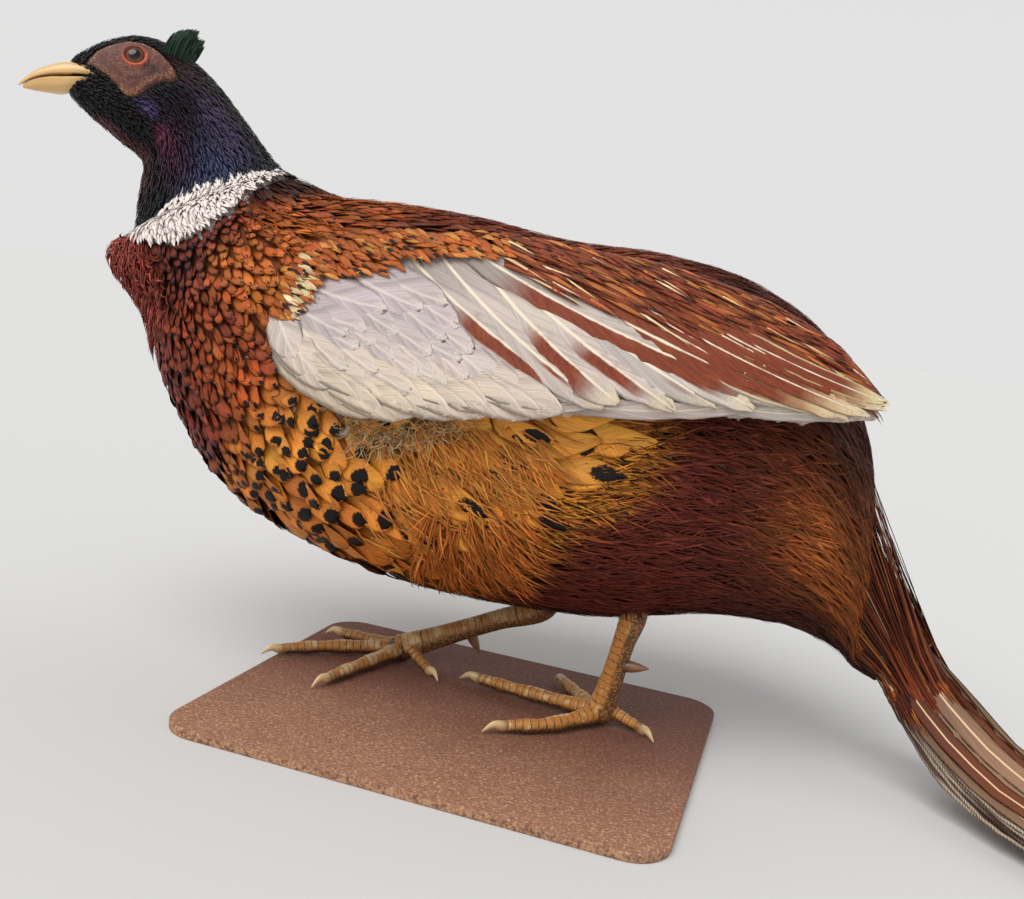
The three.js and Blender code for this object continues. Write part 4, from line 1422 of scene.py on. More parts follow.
def tail_covert_plumes():
    """Long loose plumes of the rump that run out over the tail's root."""
    rng = np.random.default_rng(81)
    n = 560
    side = np.where(rng.uniform(0, 1, n) < 0.5, -1.0, 1.0)
    angle = rng.uniform(4, 150, n)
    station = rng.uniform(15.2, 16.9, n)
    share = angle / 150
    long = rng.uniform(16, 46, n) * (1 - 0.3 * share)
    rows = np.array([0, 0.12, 0.28, 0.46, 0.64, 0.82, 1.0])
    start, first, _, _ = body_frame(station, side * angle)
    lines, normals = [start], [first]
    for v in rows[1:]:
        rise = 1.2 + 2.6 * (1 - v) * rng.uniform(0.7, 1.3, n)
        point, normal = tail_roof(2 + long * v, 1 + share * (20 + 6 * v), side, rise)
        near = smooth(v, 0.0, 0.4)
        lines.append(point * near + (start + (point - start) * 0.6 + first * 2) * (1 - near))
        normals.append(unit(normal * near + first * (1 - near)))
    line, normal = np.stack(lines, 1), np.stack(normals, 1)
    half = rng.uniform(0.35, 0.9, (n, 1)) * np.array([0.7, 0.9, 1, 0.95, 0.8, 0.5, 0.08])
    base = evenly("#7c3a1c", n)
    pick = rng.uniform(0, 1, n)
    base[pick < 0.35] = colour("#4a1c10")
    base[pick > 0.78] = colour("#a85f2c")
    base[pick > 0.95] = colour("#e2bf93")
    coat = Feathers("tail_covert_plumes", 3)
    coat.add(
        line, normal, half, rows, vary(rng, base, 0.2), base * 0.2, np.broadcast_to([0, 0, 0.2], (n, 3)),
        np.stack([station, side * angle], -1), 0.3,
    )  # fmt: skip
    coat.build(plume, "tail_feathers")


def tail_covert_feathers():
    """Long narrow feathers with pale shafts and black edges, lying over the tail's root."""
    rng = np.random.default_rng(83)
    count = 7
    n = 2 * count
    side = np.repeat([-1.0, 1.0], count)
    layer = 1.3 + 0.5 * (np.arange(n) % count % 3)
    share = np.tile(np.linspace(0.06, 0.88, count), 2)
    begin, long = rng.uniform(0, 14, n), rng.uniform(110, 190, n)
    rows = np.concatenate([np.linspace(0, 0.86, 14), [0.92, 0.97, 1.0]])
    spread = []
    for v in rows:
        across = share * (23 + 5 * v) + rng.normal(0, 0.15, n)
        spread.append(tail_roof(begin + long * v, across, side, layer))
    line, normal = (np.stack(part, 1) for part in zip(*spread))
    widths = np.interp(rows, [0, 0.15, 0.6, 0.86, 1.0], [0.5, 1.0, 0.9, 0.6, 0.06])
    half = rng.uniform(3.8, 5.2, (n, 1)) * widths
    base = np.where((np.arange(n) % 2 == 0)[:, None], colour("#8a6a50"), colour("#73391f"))
    coat = Feathers("tail_covert_feathers", 9)
    coat.add(
        line, normal, half, rows, vary(rng, base, 0.15), evenly("#1a0d09", n),
        np.broadcast_to([0.12, 0, 1.0], (n, 3)), np.stack([begin, side * share * 30], -1), 0.12,
        rng.normal(0, 1.2, (n, 9)),
    )  # fmt: skip
    coat.build(tail_covert, "tail_feathers")


tail_covert_plumes()
tail_covert_feathers()

# ---- rods: bill, legs, claws ----


def drawn_rod(bm, rings):
    """A closed rod drawn out from a circle through rings of points."""
    ring = bmesh.ops.create_circle(bm, cap_ends=True, segments=len(rings[0]), radius=1.0)["verts"]
    for vert, place in zip(ring, rings[0]):
        vert.co = place
    end = ring[0].link_faces[0]
    for number, places in enumerate(rings[1:]):
        inner = end
        made = bmesh.ops.extrude_face_region(bm, geom=[end])["geom"]
        fresh = {e for e in made if isinstance(e, bmesh.types.BMVert)}
        end = next(e for e in made if isinstance(e, bmesh.types.BMFace))
        ring = [next(o for o in (e.other_vert(v) for e in v.link_edges) if o in fresh) for v in ring]
        for vert, place in zip(ring, places):
            vert.co = place
        if number:
            bmesh.ops.delete(bm, geom=[inner], context="FACES_ONLY")


def rod_rings(path, radii, count, corners, up=(0, 0, 1)):
    """Rings of an oval rod along a path: radii are (across, high) at its points."""
    path, radii = np.asarray(path, float), np.asarray(radii, float)
    t = np.linspace(0, 1, count)
    line = flow(path, t * (len(path) - 1))
    size = flow(radii, t * (len(radii) - 1))
    along = unit(np.gradient(line, axis=0))
    across = unit(np.cross(along, up))
    high = unit(np.cross(across, along))
    turn = np.linspace(0, 2 * np.pi, corners, endpoint=False)
    return (
        line[:, None]
        + across[:, None] * (np.cos(turn) * size[:, :1])[..., None]
        + high[:, None] * (np.sin(turn) * size[:, 1:])[..., None]
    )


def mesh_of(bm, name):
    """The mesh that was modelled, with its faces outward."""
    bmesh.ops.recalc_face_normals(bm, faces=bm.faces)
    mesh = bpy.data.meshes.new(name)
    bm.to_mesh(mesh)
    bm.free()
    mesh.shade_smooth()
    return mesh


LEGS = {
    "left": {
        "foot": (53.5, -19, 6), "ankle": (61, -22.5, 53), "hip": (48, -30, 103), "spur": (1, -0.1, 0.05),
        "toes": {
            "inner": [(51, -23, 5), (34, -41, 3.6), (19, -50, 3.2)],
            "middle": [(50, -18, 5), (17, -10, 3.8), (-3, -4, 3.2)],
            "outer": [(51, -15, 5), (41, 0, 3.6), (33, 13, 3.2)],
            "hind": [(57, -19, 7), (64, -20, 4.5), (70, -22, 3)],
        },
        "claws": {"inner": (-0.8, -0.5), "middle": (-1, 0.15), "outer": (-0.6, 0.8), "hind": (0.7, -0.7)},
    },
    "right": {
        "foot": (-45, 10, 6), "ankle": (18, 18, 36), "hip": (10, 28, 95), "spur": (0.45, 0.1, -0.85),
        "toes": {
            "inner": [(-47, 6, 5), (-56, -17, 3.6), (-63, -38, 3.2)],
            "middle": [(-49, 9, 5), (-76, -3, 3.8), (-94, -16, 3.2)],
            "outer": [(-48, 13, 5), (-64, 17, 3.6), (-78, 20, 3.2)],
            "hind": [(-42, 8, 7), (-35, 2, 4.5), (-29, -4, 3)],
        },
        "claws": {"inner": (-0.35, -0.9), "middle": (-0.75, -0.65), "outer": (-1, 0.1), "hind": (0.7, -0.7)},
    },
}  # fmt: skip
HIND_RADII = [(2.8, 2.8), (2.5, 2.6), (2.2, 2.3)]
TOE_RADII = [(3.6, 3.6), (2.9, 3.0), (2.5, 2.6)]
SHANK_WIDTHS = (1.28, 1.0, 0.96, 1.18, 0.8)  # of the shank's own, from the foot up
SHANK_THIN, SHANK_HALF = 4.0, 5.0
HEEL_RADIUS = 5.3
LEG_VOXEL = 0.00055
THIGH_SHOWN = 16.0  # how far the leg's skin runs up inside the thigh's feathers
THIGH_RADIUS = 7.5  # how far from the leg's axis its loose feathers hang
SCUTE, SCUTE_HEIGHT = 3.3, 0.34  # length of one scale along a toe or shank, and its relief


def leg_material():
    """Dry scaly skin: ochre-brown scutes with cream edges and dark seams, darkened by painted shade."""
    made, t, sockets = material("leg_skin", 0.5, Coat_Weight=0.12, Coat_Roughness=0.4)
    run, top, dark = t.split(t.attribute("scute"))
    spread = t.noise(t.place(), 300.0, 3.0)
    phase = t.math("FRACT", t.plus(run, t.times(t.less(spread, 0.5), 0.25)))
    seam = t.most(t.step(phase, 0.12, 0.02), t.step(phase, 0.93, 0.99))
    cream = t.step(phase, 0.3, 0.12)
    pebbles = t.cells(t.place(), 900.0)
    patches = t.noise(t.place(), 130.0, 2.0)
    scutes = t.mix(t.times(cream, 0.6), colour("#b6762f"), colour("#dcab66"))
    scutes = t.mix(t.step(patches, 0.52, 0.66, 0.0, 0.8), scutes, colour("#d8ba85"))
    scutes = t.mix(seam, scutes, colour("#3f2411"))
    mesh = t.mix(t.step(pebbles, 0.25, 0.6), colour("#a8733a"), colour("#5d3c1e"))
    hide = t.mix(t.step(top, 0.35, 0.5), mesh, scutes)
    hide = t.mix(t.step(spread, 0.5, 0.8, 0.0, 0.4), hide, colour("#6e421f"))
    # painted shade: the third value of the scute attribute darkens the leg low down by the floor and all
    # over the far leg
    t.feed(sockets["Base Color"], t.mix(dark, hide, colour("#3b271a")))
    bump(t, sockets, t.less(t.times(pebbles, -0.6), seam), 0.5)
    return made


leg_skin = leg_material()


def leg(word):
    """Shank, foot and toes in one scaly skin."""
    parts = LEGS[word]
    foot, ankle = np.array(parts["foot"], float), np.array(parts["ankle"], float)
    shank = np.linspace(0, 1, 4)[:, None] * (ankle - foot) + foot
    shank[0] = foot - (ankle - foot) * 0.04
    thigh = ankle + unit(np.array(parts["hip"], float) - ankle) * THIGH_SHOWN
    widths = [(w * SHANK_THIN, w * SHANK_HALF) for w in SHANK_WIDTHS]
    runs = [(np.vstack([shank, thigh]), widths, (1, 0, 0))]
    for toe, path in parts["toes"].items():
        runs.append((np.array(path, float), HIND_RADII if toe == "hind" else TOE_RADII, (0, 0, 1)))
    bm = bmesh.new()
    count = 40
    pads = 1 + 0.07 * np.sin(np.linspace(0, 3, count) * 2 * np.pi)[:, None, None]
    for number, (path, radii, up) in enumerate(runs):
        rings = rod_rings(path, radii, count, 16, up)
        if number:
            middle = rings.mean(1, keepdims=True)
            rings = middle + (rings - middle) * pads
        drawn_rod(bm, placed(rings))
    made = bmesh.ops.create_uvsphere(bm, u_segments=16, v_segments=10, radius=HEEL_RADIUS * MM)["verts"]
    bmesh.ops.translate(bm, verts=made, vec=placed(foot - [0, 0, 0.6]))
    mesh = remeshed(mesh_of(bm, "leg"), LEG_VOXEL)
    bm = bmesh.new()
    bm.from_mesh(mesh)
    relax(bm, 1)
    bm.to_mesh(mesh)
    bm.free()
    co = positions(mesh)
    points, normals = bird_frame(co), positions(mesh, "normal")
    best = np.full(len(points), 1e9)
    run, front = np.zeros(len(points)), np.zeros(len(points))
    for number, (path, radii, _) in enumerate(runs):
        fine = flow(path, np.linspace(0, len(path) - 1, 90))
        length = run_along(fine)
        distance = np.linalg.norm(points[:, None] - fine[None], axis=-1)
        nearest = distance.argmin(1)
        near = distance.min(1) / radii[1][1]
        closer = near < best
        best = np.where(closer, near, best)
        run = np.where(closer, length[nearest] / SCUTE, run)
        facing = normals @ (np.array([-1.0, 0, 0.2]) if number == 0 else np.array([0, 0, 1.0]))
        front = np.where(closer, facing * 0.5 + 0.5, front)
    phase = run % 1
    ridge = np.clip(phase * 4, 0, 1) * (1 - 0.6 * phase)
    raised = (ridge - 0.5) * SCUTE_HEIGHT * smooth(front, 0.35, 0.6)
    co += normals * (raised * MM)[:, None]
    mesh.vertices.foreach_set("co", co.astype("f").ravel())
    # painted shade: darker near the floor, and the right leg, on the far side under the body, darker all
    # over
    under = np.clip(0.75 - points[:, 2] / 6, 0, 0.6)
    dark = under + (0.22 if word == "right" else 0.0)
    write_points(mesh, "scute", np.stack([run, front, np.clip(dark, 0, 1)], -1))
    mesh.shade_smooth()
    show(f"leg_{word}", mesh, leg_skin, [f"shank_{word}", f"foot_{word}"])


def claw_material(name, base, tip):
    """Horn with a lengthwise grain, from its base's colour to its tip's."""
    made, t, sockets = material(name, 0.35, Coat_Weight=0.25, Coat_Roughness=0.25)
    u, v, _ = t.split(t.uv("grain"))
    grain = t.noise(t.join(t.times(v, 0.6), t.times(u, 5.0)), 3.0, 3.0)
    horn = t.mix(t.step(v, 0.1, 0.6), colour(base), colour(tip))
    t.feed(sockets["Base Color"], t.mix(t.step(grain, 0.35, 0.75, 0, 0.4), horn, colour("#5c3f22")))
    bump(t, sockets, grain, 0.2)
    return made


claw_horn = claw_material("claw_horn", "#94693c", "#dcbb86")
spur_horn = claw_material("spur_horn", "#5a3222", "#8d6248")


def horn_piece(name, rings, look, replaces):
    """A smooth horny rod whose own map runs round it and along it."""
    bm = bmesh.new()
    drawn_rod(bm, placed(rings))
    mesh = mesh_of(bm, name)
    count, corners = rings.shape[:2]
    layer = mesh.uv_layers.new(name="grain")
    index = np.empty(len(mesh.loops), "i")
    mesh.loops.foreach_get("vertex_index", index)
    apart = np.linalg.norm(positions(mesh)[:, None] - placed(rings).reshape(1, -1, 3), axis=-1)
    index = apart.argmin(1)[index]
    values = np.stack([np.abs((index % corners) / corners * 2 - 1), index // corners / (count - 1)], -1)
    layer.data.foreach_set("uv", values.astype("f").ravel())
    piece = show(name, mesh, look, replaces)
    rounding = piece.modifiers.new("rounding", "SUBSURF")
    rounding.levels = rounding.render_levels = 1


CLAW_LENGTH, CLAW_RADIUS, CLAW_TIP = 11.0, 1.9, 0.9  # the last is how high the tip is held
SPUR_LENGTH, SPUR_RADIUS, SPUR_UP = 9.0, 3.0, 0.46  # the last is its share of the way up the shank


def claws(word):
    """Four claws and the spur."""
    parts = LEGS[word]
    for toe, path in parts["toes"].items():
        way = unit(np.array([*parts["claws"][toe], 0.0]))
        end, before = np.array(path[-1], float), np.array(path[-2], float)
        along = unit(end - before)
        root = end - along * 0.6
        tip = root + way * (CLAW_LENGTH + 0.6)
        tip[2] = CLAW_TIP
        line = [root, root + along * CLAW_LENGTH * 0.25, root + way * CLAW_LENGTH * 0.62 + [0, 0, 0.7], tip]
        r = CLAW_RADIUS
        rings = rod_rings(line, [(r, r * 1.2), (r, r * 1.25), (r * 0.66, r * 0.85), (0.2, 0.25)], 12, 12)
        horn_piece(f"claw_horn_{word}_{toe}", rings, claw_horn, [f"claw_{word}_{toe}"])
    foot, ankle = np.array(parts["foot"], float), np.array(parts["ankle"], float)
    root = foot + (ankle - foot) * SPUR_UP
    tip = root + unit(np.array(parts["spur"], float)) * (SPUR_LENGTH + SHANK_HALF) + [0, 0, 0.8]
    r = SPUR_RADIUS
    radii = [(r, r), (r * 0.8, r * 0.8), (0.3, 0.3)]
    rings = rod_rings([root, root * 0.45 + tip * 0.55, tip], radii, 12, 12, (0, 1, 0))
    horn_piece(f"spur_horn_{word}", rings, spur_horn, [f"spur_{word}"])


def thigh_plumes(word):
    """Short loose feathers of the thigh that hang over the top of the leg."""
    rng = np.random.default_rng(87)
    n = 260
    ankle, hip = np.array(LEGS[word]["ankle"], float), np.array(LEGS[word]["hip"], float)
    axis = unit(hip - ankle)
    turn = rng.uniform(0, 2 * np.pi, n)
    one = unit(np.cross(axis, [0, 1.0, 0]))
    out = np.cos(turn)[:, None] * one + np.sin(turn)[:, None] * np.cross(axis, one)
    high, low = rng.uniform(12, 20, n), rng.uniform(-3, 6, n)
    rows, widths = HAIR
    lines = []
    for v in rows:
        off = THIGH_RADIUS - 1.3 * v + rng.uniform(0, 0.8, (n, 1))
        lines.append(ankle + axis * (high + (low - high) * v)[:, None] + out * off)
    line = np.stack(lines, 1)
    normal = np.broadcast_to(out[:, None], line.shape)
    half = 0.7 * widths * np.ones((n, 1))
    base = evenly("#5a2216", n)
    coat = Feathers(f"thigh_plumes_{word}", 3)
    root = np.stack([turn, high], -1)
    coat.add(line, normal, half, rows, vary(rng, base, 0.3), base * 0.3, np.zeros((n, 3)), root, 0.3)
    coat.build(plume, "body_plumage")


for word in SIDES:
    leg(word)
    claws(word)
    thigh_plumes(word)

# ---- bill ----

# Each half of the bill from its root to its tip: x, top z, bottom z and half width.
UPPER_BILL = [
    (-206, 246, 244, 12.5), (-213.5, 248.6, 243.8, 11.6), (-219, 249.6, 243.7, 10.4),
    (-225, 249.1, 243.0, 8.2), (-231, 246.8, 242.0, 6.2), (-237, 243.3, 239.9, 4),
    (-241.6, 238.8, 236.9, 1.8), (-243.1, 236.5, 235.7, 0.7),
]  # fmt: skip
LOWER_BILL = [
    (-206, 243.6, 242.4, 12), (-213.5, 243.5, 241, 11.2), (-219, 243.4, 239.2, 9.8),
    (-225, 242.8, 235.6, 7.4), (-231, 241.8, 235.1, 5.5), (-237, 239.7, 235, 3.4),
    (-241.3, 236.7, 235.2, 1.2),
]  # fmt: skip
BILL_OVAL = 2.4  # squareness of the bill's section
MEETING = 0.16  # how much of each half's height lies beyond its widest line, towards the other half


def bill_rings(table, widest):
    """Rings of half a bill. widest is the share of its height, from below, at which it is widest."""
    x, top, bottom, half = flow(table, np.linspace(0, len(table) - 1, 30)).T
    turn = np.linspace(0, 2 * np.pi, 32, endpoint=False)
    c, s = np.cos(turn), np.sin(turn)
    high = np.sign(c) * np.abs(c) ** (2 / BILL_OVAL)
    wide = np.sign(s) * np.abs(s) ** (2 / BILL_OVAL)
    middle = (bottom + (top - bottom) * widest)[:, None]
    z = middle + np.where(high > 0, top[:, None] - middle, middle - bottom[:, None]) * high
    return swung(np.broadcast_to(x[:, None], z.shape), half[:, None] * wide, z, HEAD_TURN)


def bill_material():
    """Pale horn, browner at its root, with a faint lengthwise grain."""
    made, t, sockets = material("bill_horn", 0.33, Coat_Weight=0.3, Coat_Roughness=0.2)
    u, v, _ = t.split(t.uv("grain"))
    grain = t.noise(t.join(t.times(v, 0.5), t.times(u, 6.0)), 3.0, 3.0)
    horn = t.mix(t.step(v, 0.0, 0.45), colour("#a87a45"), colour("#dfb576"))
    horn = t.mix(t.step(grain, 0.45, 0.75, 0, 0.35), horn, colour("#94682f"))
    t.feed(sockets["Base Color"], horn)
    bump(t, sockets, grain, 0.12)
    return made


bill_horn = bill_material()
horn_piece("upper_bill_horn", bill_rings(UPPER_BILL, MEETING), bill_horn, ["bill_upper"])
horn_piece("lower_bill_horn", bill_rings(LOWER_BILL, 1 - MEETING), bill_horn, ["bill_lower"])

# ---- eyes, lids, bare face and ear tufts ----

EYE_X, EYE_Z, EYE_OUT, EYE_RADIUS = -196.9, 253.8, 10.1, 5.8
EYE_STATION, EYE_ANGLE = 1.99, 60.0
LID_RING, LID_HALF = 4.3, 0.95
# The grid of the bare face: its columns, where it starts and how far it runs, as (station, angle),
# and the angle that counts for as much as one station.
FACE_COLUMNS, FACE_START, FACE_RUN, FACE_DEGREES = 110, (0.42, 31), (3.2, 74), 22
FACE_WALL = 0.0006
FACE_SUNK, FACE_RAISED = 1.2, 1.5  # how deep its edge lies, and how far its middle rises from there


def eye_material():
    """Glass with a black pupil, a streaked brown iris and a dark rim."""
    made, t, sockets = material(
        "glass_eye", 0.05, Specular_IOR_Level=0.35, Coat_Weight=0.3, Coat_Roughness=0.02
    )
    _, v, _ = t.split(t.uv("gaze"))
    streaks = t.noise(t.place(), 1400.0, 3.0)
    iris = t.mix(streaks, colour("#3a1c0c"), colour("#7a4420"))
    iris = t.mix(t.step(v, 0.2, 0.24), iris, colour("#170b06"))
    t.feed(sockets["Base Color"], t.mix(t.step(v, 0.13, 0.15), colour("#040303"), iris))
    return made


def lid_material():
    """Pebbled skin, orange-red where the lid catches the light and dull elsewhere."""
    made, t, sockets = material("eye_lid", 0.5, Coat_Weight=0.2)
    pebbles = t.cells(t.place(), 2200.0)
    dull = t.mix(t.step(pebbles, 0.2, 0.6), colour("#8a3c22"), colour("#5e261a"))
    vivid = t.mix(t.step(pebbles, 0.2, 0.6), colour("#e0641f"), colour("#a83c18"))
    t.feed(sockets["Base Color"], t.mix(t.attribute("glow", "Fac"), dull, vivid))
    bump(t, sockets, pebbles, 0.6, 0.0003)
    return made


def face_material():
    """Dusty red-brown bare skin with fine pebbles, tan along its edge, and painted shade in the hollows
    between the pebbles and along its rim.
    """
    made, t, sockets = material("bare_face", 0.6)
    edge, relief, dark = t.split(t.attribute("relief"))
    patch = t.noise(t.place(), 190.0, 4.0)
    dust = t.noise(t.place(), 1500.0, 2.0)
    red = t.mix(t.step(patch, 0.35, 0.65), colour("#5c2f28"), colour("#7d493c"))
    # painted shade: darker in the hollows between the pebbles
    red = t.mix(t.step(relief, 0.5, 0.1, 0.0, 0.7), red, colour("#3b1c18"))
    # painted shade: darker along the rim, where the head's feathers meet the face
    red = t.mix(t.step(edge, 0.35, 0.0, 0.0, 0.6), red, colour("#2a1512"))
    red = t.mix(dark, red, colour("#150f10"))
    near_edge = t.times(t.step(edge, 0.08, 0.2), t.step(edge, 0.75, 0.3))
    tan = t.times(t.step(dust, 0.48, 0.66), t.scaled(near_edge, 0.75, 0.15))
    t.feed(sockets["Base Color"], t.mix(tan, red, colour("#b08052")))
    bump(t, sockets, t.plus(dust, t.cells(t.place(), 1500.0)), 0.5, 0.0003)
    return made


glass_eye, eye_lid, bare_face = eye_material(), lid_material(), face_material()


def eye_place(side):
    """The centre of an eye, and the way it looks."""
    _, way, _, _ = body_frame(np.array(EYE_STATION), np.array(side * EYE_ANGLE))
    return swung(EYE_X, side * EYE_OUT, EYE_Z, HEAD_TURN), way


def aimed(centre, way):
    """A matrix that puts +Z along a way of the bird's frame, at a centre in its millimetres."""
    ends = placed([centre, centre + unit(way)])
    turn = Vector(ends[1] - ends[0]).to_track_quat("Z", "Y").to_matrix().to_4x4()
    return Matrix.Translation(Vector(ends[0])) @ turn


def eye(word, side):
    """A glass eye and the fleshy ring round it."""
    aim = aimed(*eye_place(side))
    bm = bmesh.new()
    bmesh.ops.create_uvsphere(bm, u_segments=40, v_segments=28, radius=EYE_RADIUS * MM)
    layer = bm.loops.layers.uv.new("gaze")
    for face in bm.faces:
        for loop in face.loops:
            co = loop.vert.co
            off = math.acos(max(-1.0, min(1.0, co.z / (EYE_RADIUS * MM)))) / math.pi
            loop[layer].uv = (math.atan2(co.y, co.x) / (2 * math.pi) + 0.5, off)
    bmesh.ops.transform(bm, matrix=aim, verts=bm.verts)
    show(f"glass_eye_{word}", mesh_of(bm, "eye"), glass_eye, [f"eye_{word}"])
    bm = bmesh.new()
    rise = math.sqrt(EYE_RADIUS**2 - LID_RING**2)
    ring = bmesh.ops.create_circle(bm, segments=14, radius=LID_HALF * MM)["verts"]
    bmesh.ops.rotate(bm, verts=ring, cent=(0, 0, 0), matrix=Matrix.Rotation(math.pi / 2, 3, "X"))
    bmesh.ops.translate(bm, verts=ring, vec=((LID_RING + 0.35) * MM, 0, (rise + 0.05) * MM))
    bmesh.ops.spin(
        bm, geom=bm.verts[:] + bm.edges[:], cent=(0, 0, 0), axis=(0, 0, 1), dvec=(0, 0, 0),
        angle=2 * math.pi, steps=48, use_merge=True, use_duplicate=False,
    )  # fmt: skip
    bmesh.ops.remove_doubles(bm, verts=bm.verts, dist=1e-7)
    bmesh.ops.scale(bm, vec=(1.06, 0.94, 1.0), verts=bm.verts)
    glow = bm.verts.layers.float.new("glow")
    for vert in bm.verts:
        back = vert.co.x * -side
        vert[glow] = min(max(0.55 + (back * 0.5 - vert.co.y) / (LID_RING * MM) * 0.6, 0), 1)
    bmesh.ops.transform(bm, matrix=aim, verts=bm.verts)
    show(f"lid_{word}", mesh_of(bm, "lid"), eye_lid)


def pebbled(s, a, rng):
    """Height of small round pebbles over the bare face."""
    points = body_point(s, a).reshape(-1, 3)
    seeds = body_point(rng.uniform(0.6, 3.5, 1500), np.sign(a.flat[0]) * rng.uniform(35, 102, 1500))
    tree = tree_of(seeds)
    near = np.array([[hit[2] for hit in tree.find_n(p, 2)] for p in points])
    return np.clip((near[:, 1] - near[:, 0]) / 0.55, 0, 1).reshape(s.shape)


def face(word, side):
    """The bare red skin round the eye, raised over the head and pebbled."""
    outline = np.array(FACE + FACE[:1])
    bm = bmesh.new()
    bmesh.ops.create_grid(bm, x_segments=FACE_COLUMNS - 1, y_segments=FACE_COLUMNS - 1, size=1.0)
    uv = np.array([v.co for v in bm.verts])[:, :2] * 0.5 + 0.5
    s, a = (FACE_START[i] + FACE_RUN[i] * uv[:, i] for i in range(2))
    gaps = []
    for (s0, a0), (s1, a1) in zip(outline[:-1], outline[1:]):
        p = np.stack([s - s0, (a - a0) / FACE_DEGREES], -1)
        q = np.array([s1 - s0, (a1 - a0) / FACE_DEGREES])
        t = np.clip(p @ q / (q @ q), 0, 1)
        gaps.append(np.linalg.norm(p - t[:, None] * q, axis=1))
    inside = within(s, a, FACE)
    depth = np.min(gaps, 0) * np.where(inside, 1, -1)
    relief = pebbled(s, side * a, np.random.default_rng(90))
    point, normal, _, _ = body_frame(s, side * a)
    centre, way = eye_place(side)
    from_eye = point - centre
    off_axis = np.linalg.norm(from_eye - (from_eye @ way)[:, None] * way, axis=1)
    height = -FACE_SUNK + FACE_RAISED * smooth(depth, -0.08, 0.16) + 0.28 * relief * smooth(depth, 0, 0.1)
    fold = 0.25 * np.sin(off_axis * 1.6) * np.exp(-off_axis / 9) * smooth(depth, 0, 0.3)
    co = placed(point + normal * (height + fold)[:, None])
    for vert, place in zip(bm.verts, co):
        vert.co = place
    layer = bm.verts.layers.float_color.new("relief")
    behind = 0.9 * np.exp(-(((s - 2.6) / 0.3) ** 2) - ((a - 69) / 6) ** 2)
    for vert, d, r, dark in zip(bm.verts, depth, relief, behind):
        vert[layer] = (min(max(d / 0.5, 0), 1), r, dark, 1)
    gone = [v for v, d, o in zip(bm.verts, depth, off_axis) if d < -0.09 or o < LID_RING - 0.2]
    bmesh.ops.delete(bm, geom=gone, context="VERTS")
    bmesh.ops.recalc_face_normals(bm, faces=bm.faces)
    outward = sum(f.normal.y for f in bm.faces) * side
    if outward < 0:
        bmesh.ops.reverse_faces(bm, faces=bm.faces)
    mesh = bpy.data.meshes.new("face")
    bm.to_mesh(mesh)
    bm.free()
    mesh.shade_smooth()
    piece = show(f"face_{word}", mesh, bare_face)
    wall = piece.modifiers.new("wall", "SOLIDIFY")
    wall.thickness, wall.offset = FACE_WALL, -1


def ear_tuft(word, side):
    """A pointed tuft of stiff dark feathers behind the eye."""
    rng = np.random.default_rng(95)
    n = 420
    lean = 0.0 if side == LEFT else 3.5
    rows = np.array([0, 0.3, 0.55, 0.8, 1.0])
    spread = np.clip(rng.normal(0, 1, (n, 3)), -1.6, 1.6) * [3.0, 2.2, 0]
    path = np.array([
        (-182, side * 8, 255), (-180 + lean, side * 9, 263), (-177 + lean, side * 9.5, 269),
        (-173 + lean, side * 9, 272.5),
    ])  # fmt: skip
    reach = 0.98 - 0.3 * np.hypot(spread[:, 0] / 4.8, spread[:, 1] / 3.5) ** 2 - rng.uniform(0, 0.22, n)
    line = np.stack([flow(path, v * reach * 3) for v in rows], 1)
    line = line + spread[:, None] * (1 + 0.1 * rows)[None, :, None]
    line = swung(line[..., 0], line[..., 1], line[..., 2], HEAD_TURN)
    out = swung(0, side, 0, HEAD_TURN) - swung(0, 0, 0, HEAD_TURN)
    normal = np.broadcast_to(out, line.shape) + rng.normal(0, 0.5, (n, 1, 3))
    half = 0.62 * np.array([0.7, 1, 0.9, 0.6, 0.1]) * np.ones((n, 1))
    coat = Feathers(f"tuft_feathers_{word}", 3)
    base = evenly("#173224", n)
    coat.add(
        line, unit(normal), half, rows, vary(rng, base, 0.35), base * 0.2, np.zeros((n, 3)),
        spread[:, :2], 0.4,
    )  # fmt: skip
    coat.build(neck_feather, "ear_tuft", [f"ear_tuft_{word}"])


for word, side in SIDES.items():
    eye(word, side)
    face(word, side)
    ear_tuft(word, side)

# ---- board ----

BOARD_LENGTH, BOARD_WIDTH, BOARD_THICK = 0.195, 0.161, 0.0035
BOARD_CORNER, BOARD_EASE = 0.015, 0.0008 * 0.6  # radius of its corners, and of its rims


def board_material():
    """Pressed fibre board: reddish brown, speckled, with a rough paler edge, and painted shade over its far
    side under the bird.
    """
    made, t, sockets = material("fibre_board", 0.82)
    fibres = t.noise(t.place((1.0, 2.2, 1.0)), 330.0, 6.0, 0.7)
    blotch = t.noise(t.place(), 22.0, 4.0)
    specks = t.noise(t.place(), 800.0, 4.0, 0.7)
    _, y, z = t.split(t.place())
    # painted shade: the board is lighter and more tan-speckled on its near side and darker on its far side,
    # under the bird
    near = t.step(t.plus(y, t.times(t.less(blotch, 0.5), 0.06)), 0.03, -0.09)
    brown = t.mix(near, colour("#70402f"), colour("#a37256"))
    brown = t.mix(t.step(fibres, 0.35, 0.65, 0.0, 0.45), brown, colour("#5a3a2d"))
    tan = t.times(t.step(specks, 0.52, 0.64), t.scaled(near, 0.6, 0.2))
    brown = t.mix(tan, brown, colour("#cda582"))
    brown = t.mix(t.step(specks, 0.42, 0.34, 0.0, 0.4), brown, colour("#5a3426"))
    cut = t.step(z, 0.0031, 0.0027)
    edge = t.mix(t.step(specks, 0.36, 0.6), colour("#6e4734"), colour("#b58a68"))
    t.feed(sockets["Base Color"], t.mix(cut, brown, edge))
    bump(t, sockets, t.plus(fibres, t.times(specks, 0.7)), 0.5, 0.0006)
    return made


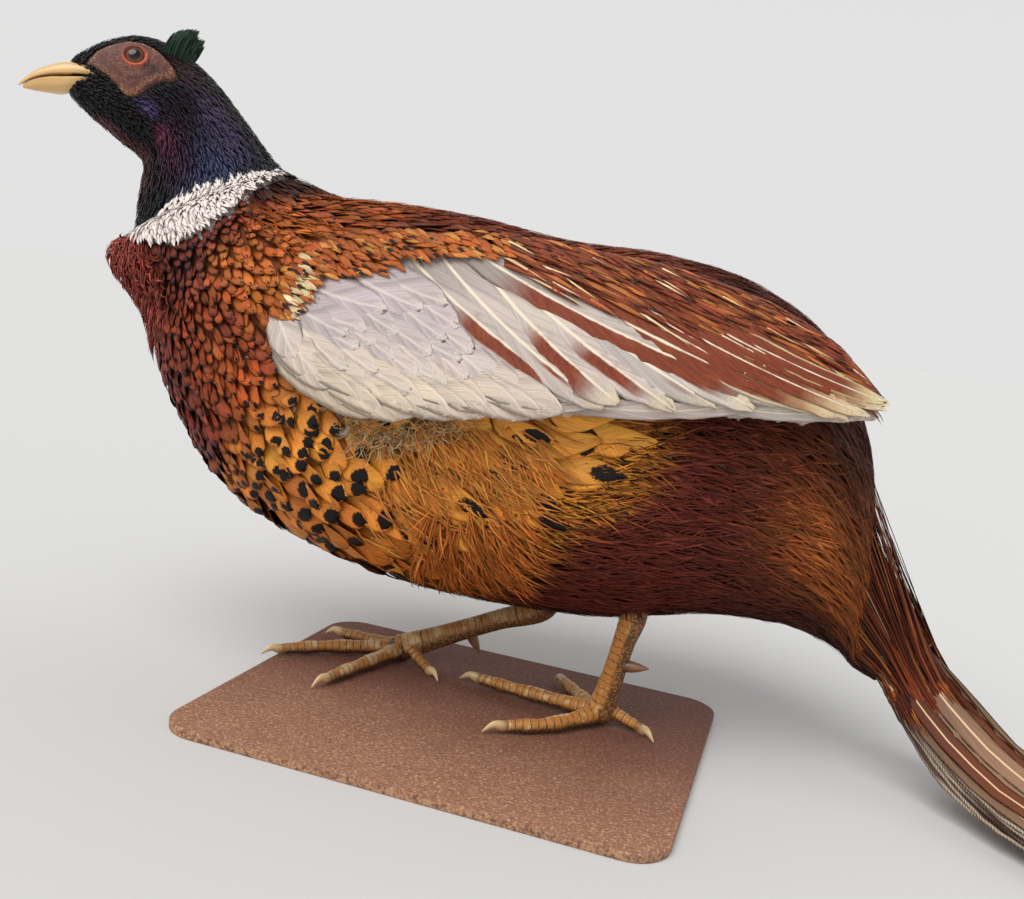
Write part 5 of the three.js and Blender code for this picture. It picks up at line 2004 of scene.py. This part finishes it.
def board():
    """A rounded slab with eased rims."""
    bm = bmesh.new()
    bmesh.ops.create_grid(bm, x_segments=1, y_segments=1, size=0.5)
    bmesh.ops.scale(bm, vec=(BOARD_LENGTH, BOARD_WIDTH, 1), verts=bm.verts)
    bmesh.ops.bevel(
        bm, geom=bm.verts[:], offset=BOARD_CORNER, offset_type="OFFSET", segments=14, profile=0.5,
        affect="VERTICES", material=-1,
    )  # fmt: skip
    bmesh.ops.solidify(bm, geom=bm.faces[:], thickness=BOARD_THICK)
    low = min(v.co.z for v in bm.verts)
    bmesh.ops.translate(bm, verts=bm.verts, vec=(0, 0, -low))
    rim = [e for e in bm.edges if e.calc_length() > 0 and abs(e.verts[0].co.z - e.verts[1].co.z) < 1e-6]
    bmesh.ops.bevel(
        bm, geom=rim, offset=BOARD_EASE, offset_type="OFFSET", segments=2, profile=0.5,
        affect="EDGES", material=-1,
    )  # fmt: skip
    mesh = mesh_of(bm, "board")
    mesh.shade_flat()
    show("board_panel", mesh, board_material(), ["board"])


board()

# ---- floor, light and camera ----

HORIZON, ZENITH = (0.765, 0.765, 0.76), (0.40, 0.41, 0.43)
FLOOR_SIDE = 20.0
# Each lamp's name, the way to it, its strength and its spread in degrees.
LAMPS = [("key", (-0.25, -0.6, 1.0), 2.3, 50.0), ("back", (0.5, 1.0, 0.9), 0.5, 70.0)]


def studio():
    """A pale floor, an even sky and two soft lamps."""
    bm = bmesh.new()
    bmesh.ops.create_grid(bm, x_segments=1, y_segments=1, size=FLOOR_SIDE)
    mesh = mesh_of(bm, "floor")
    made, t, sockets = material("studio_floor", 0.85)
    t.feed(sockets["Base Color"], colour("#cccbc9"))
    mesh.materials.append(made)
    floor = bpy.data.objects.new("floor", mesh)
    bpy.context.scene.collection.objects.link(floor)

    world = bpy.data.worlds.new("studio")
    bpy.context.scene.world = world
    world.use_nodes = True
    sky = Tree(world.node_tree)
    _, _, height = sky.split(sky.node("ShaderNodeTexCoord").outputs["Generated"])
    shade = sky.mix(sky.step(height, 0.25, 0.9), HORIZON, ZENITH)
    sky.feed(world.node_tree.nodes["Background"].inputs["Color"], shade)
    for name, way, energy, spread in LAMPS:
        lamp = bpy.data.lights.new(name, "SUN")
        lamp.energy, lamp.angle = energy, math.radians(spread)
        light = bpy.data.objects.new(name, lamp)
        bpy.context.scene.collection.objects.link(light)
        light.rotation_euler = Vector(way).to_track_quat("Z", "Y").to_euler()


studio()

lens = bpy.data.cameras.new("camera")
lens.lens, lens.sensor_width, lens.sensor_fit = 36.914, 36.0, "HORIZONTAL"
lens.clip_start = 0.01
camera = bpy.data.objects.new("camera", lens)
bpy.context.scene.collection.objects.link(camera)
camera.location = (0.121, -0.4075, 0.1745)
camera.rotation_euler = [math.radians(a) for a in (82.2308, -7.6302, 17.0378)]
bpy.context.scene.camera = camera
bpy.context.scene.view_settings.view_transform = "Standard"
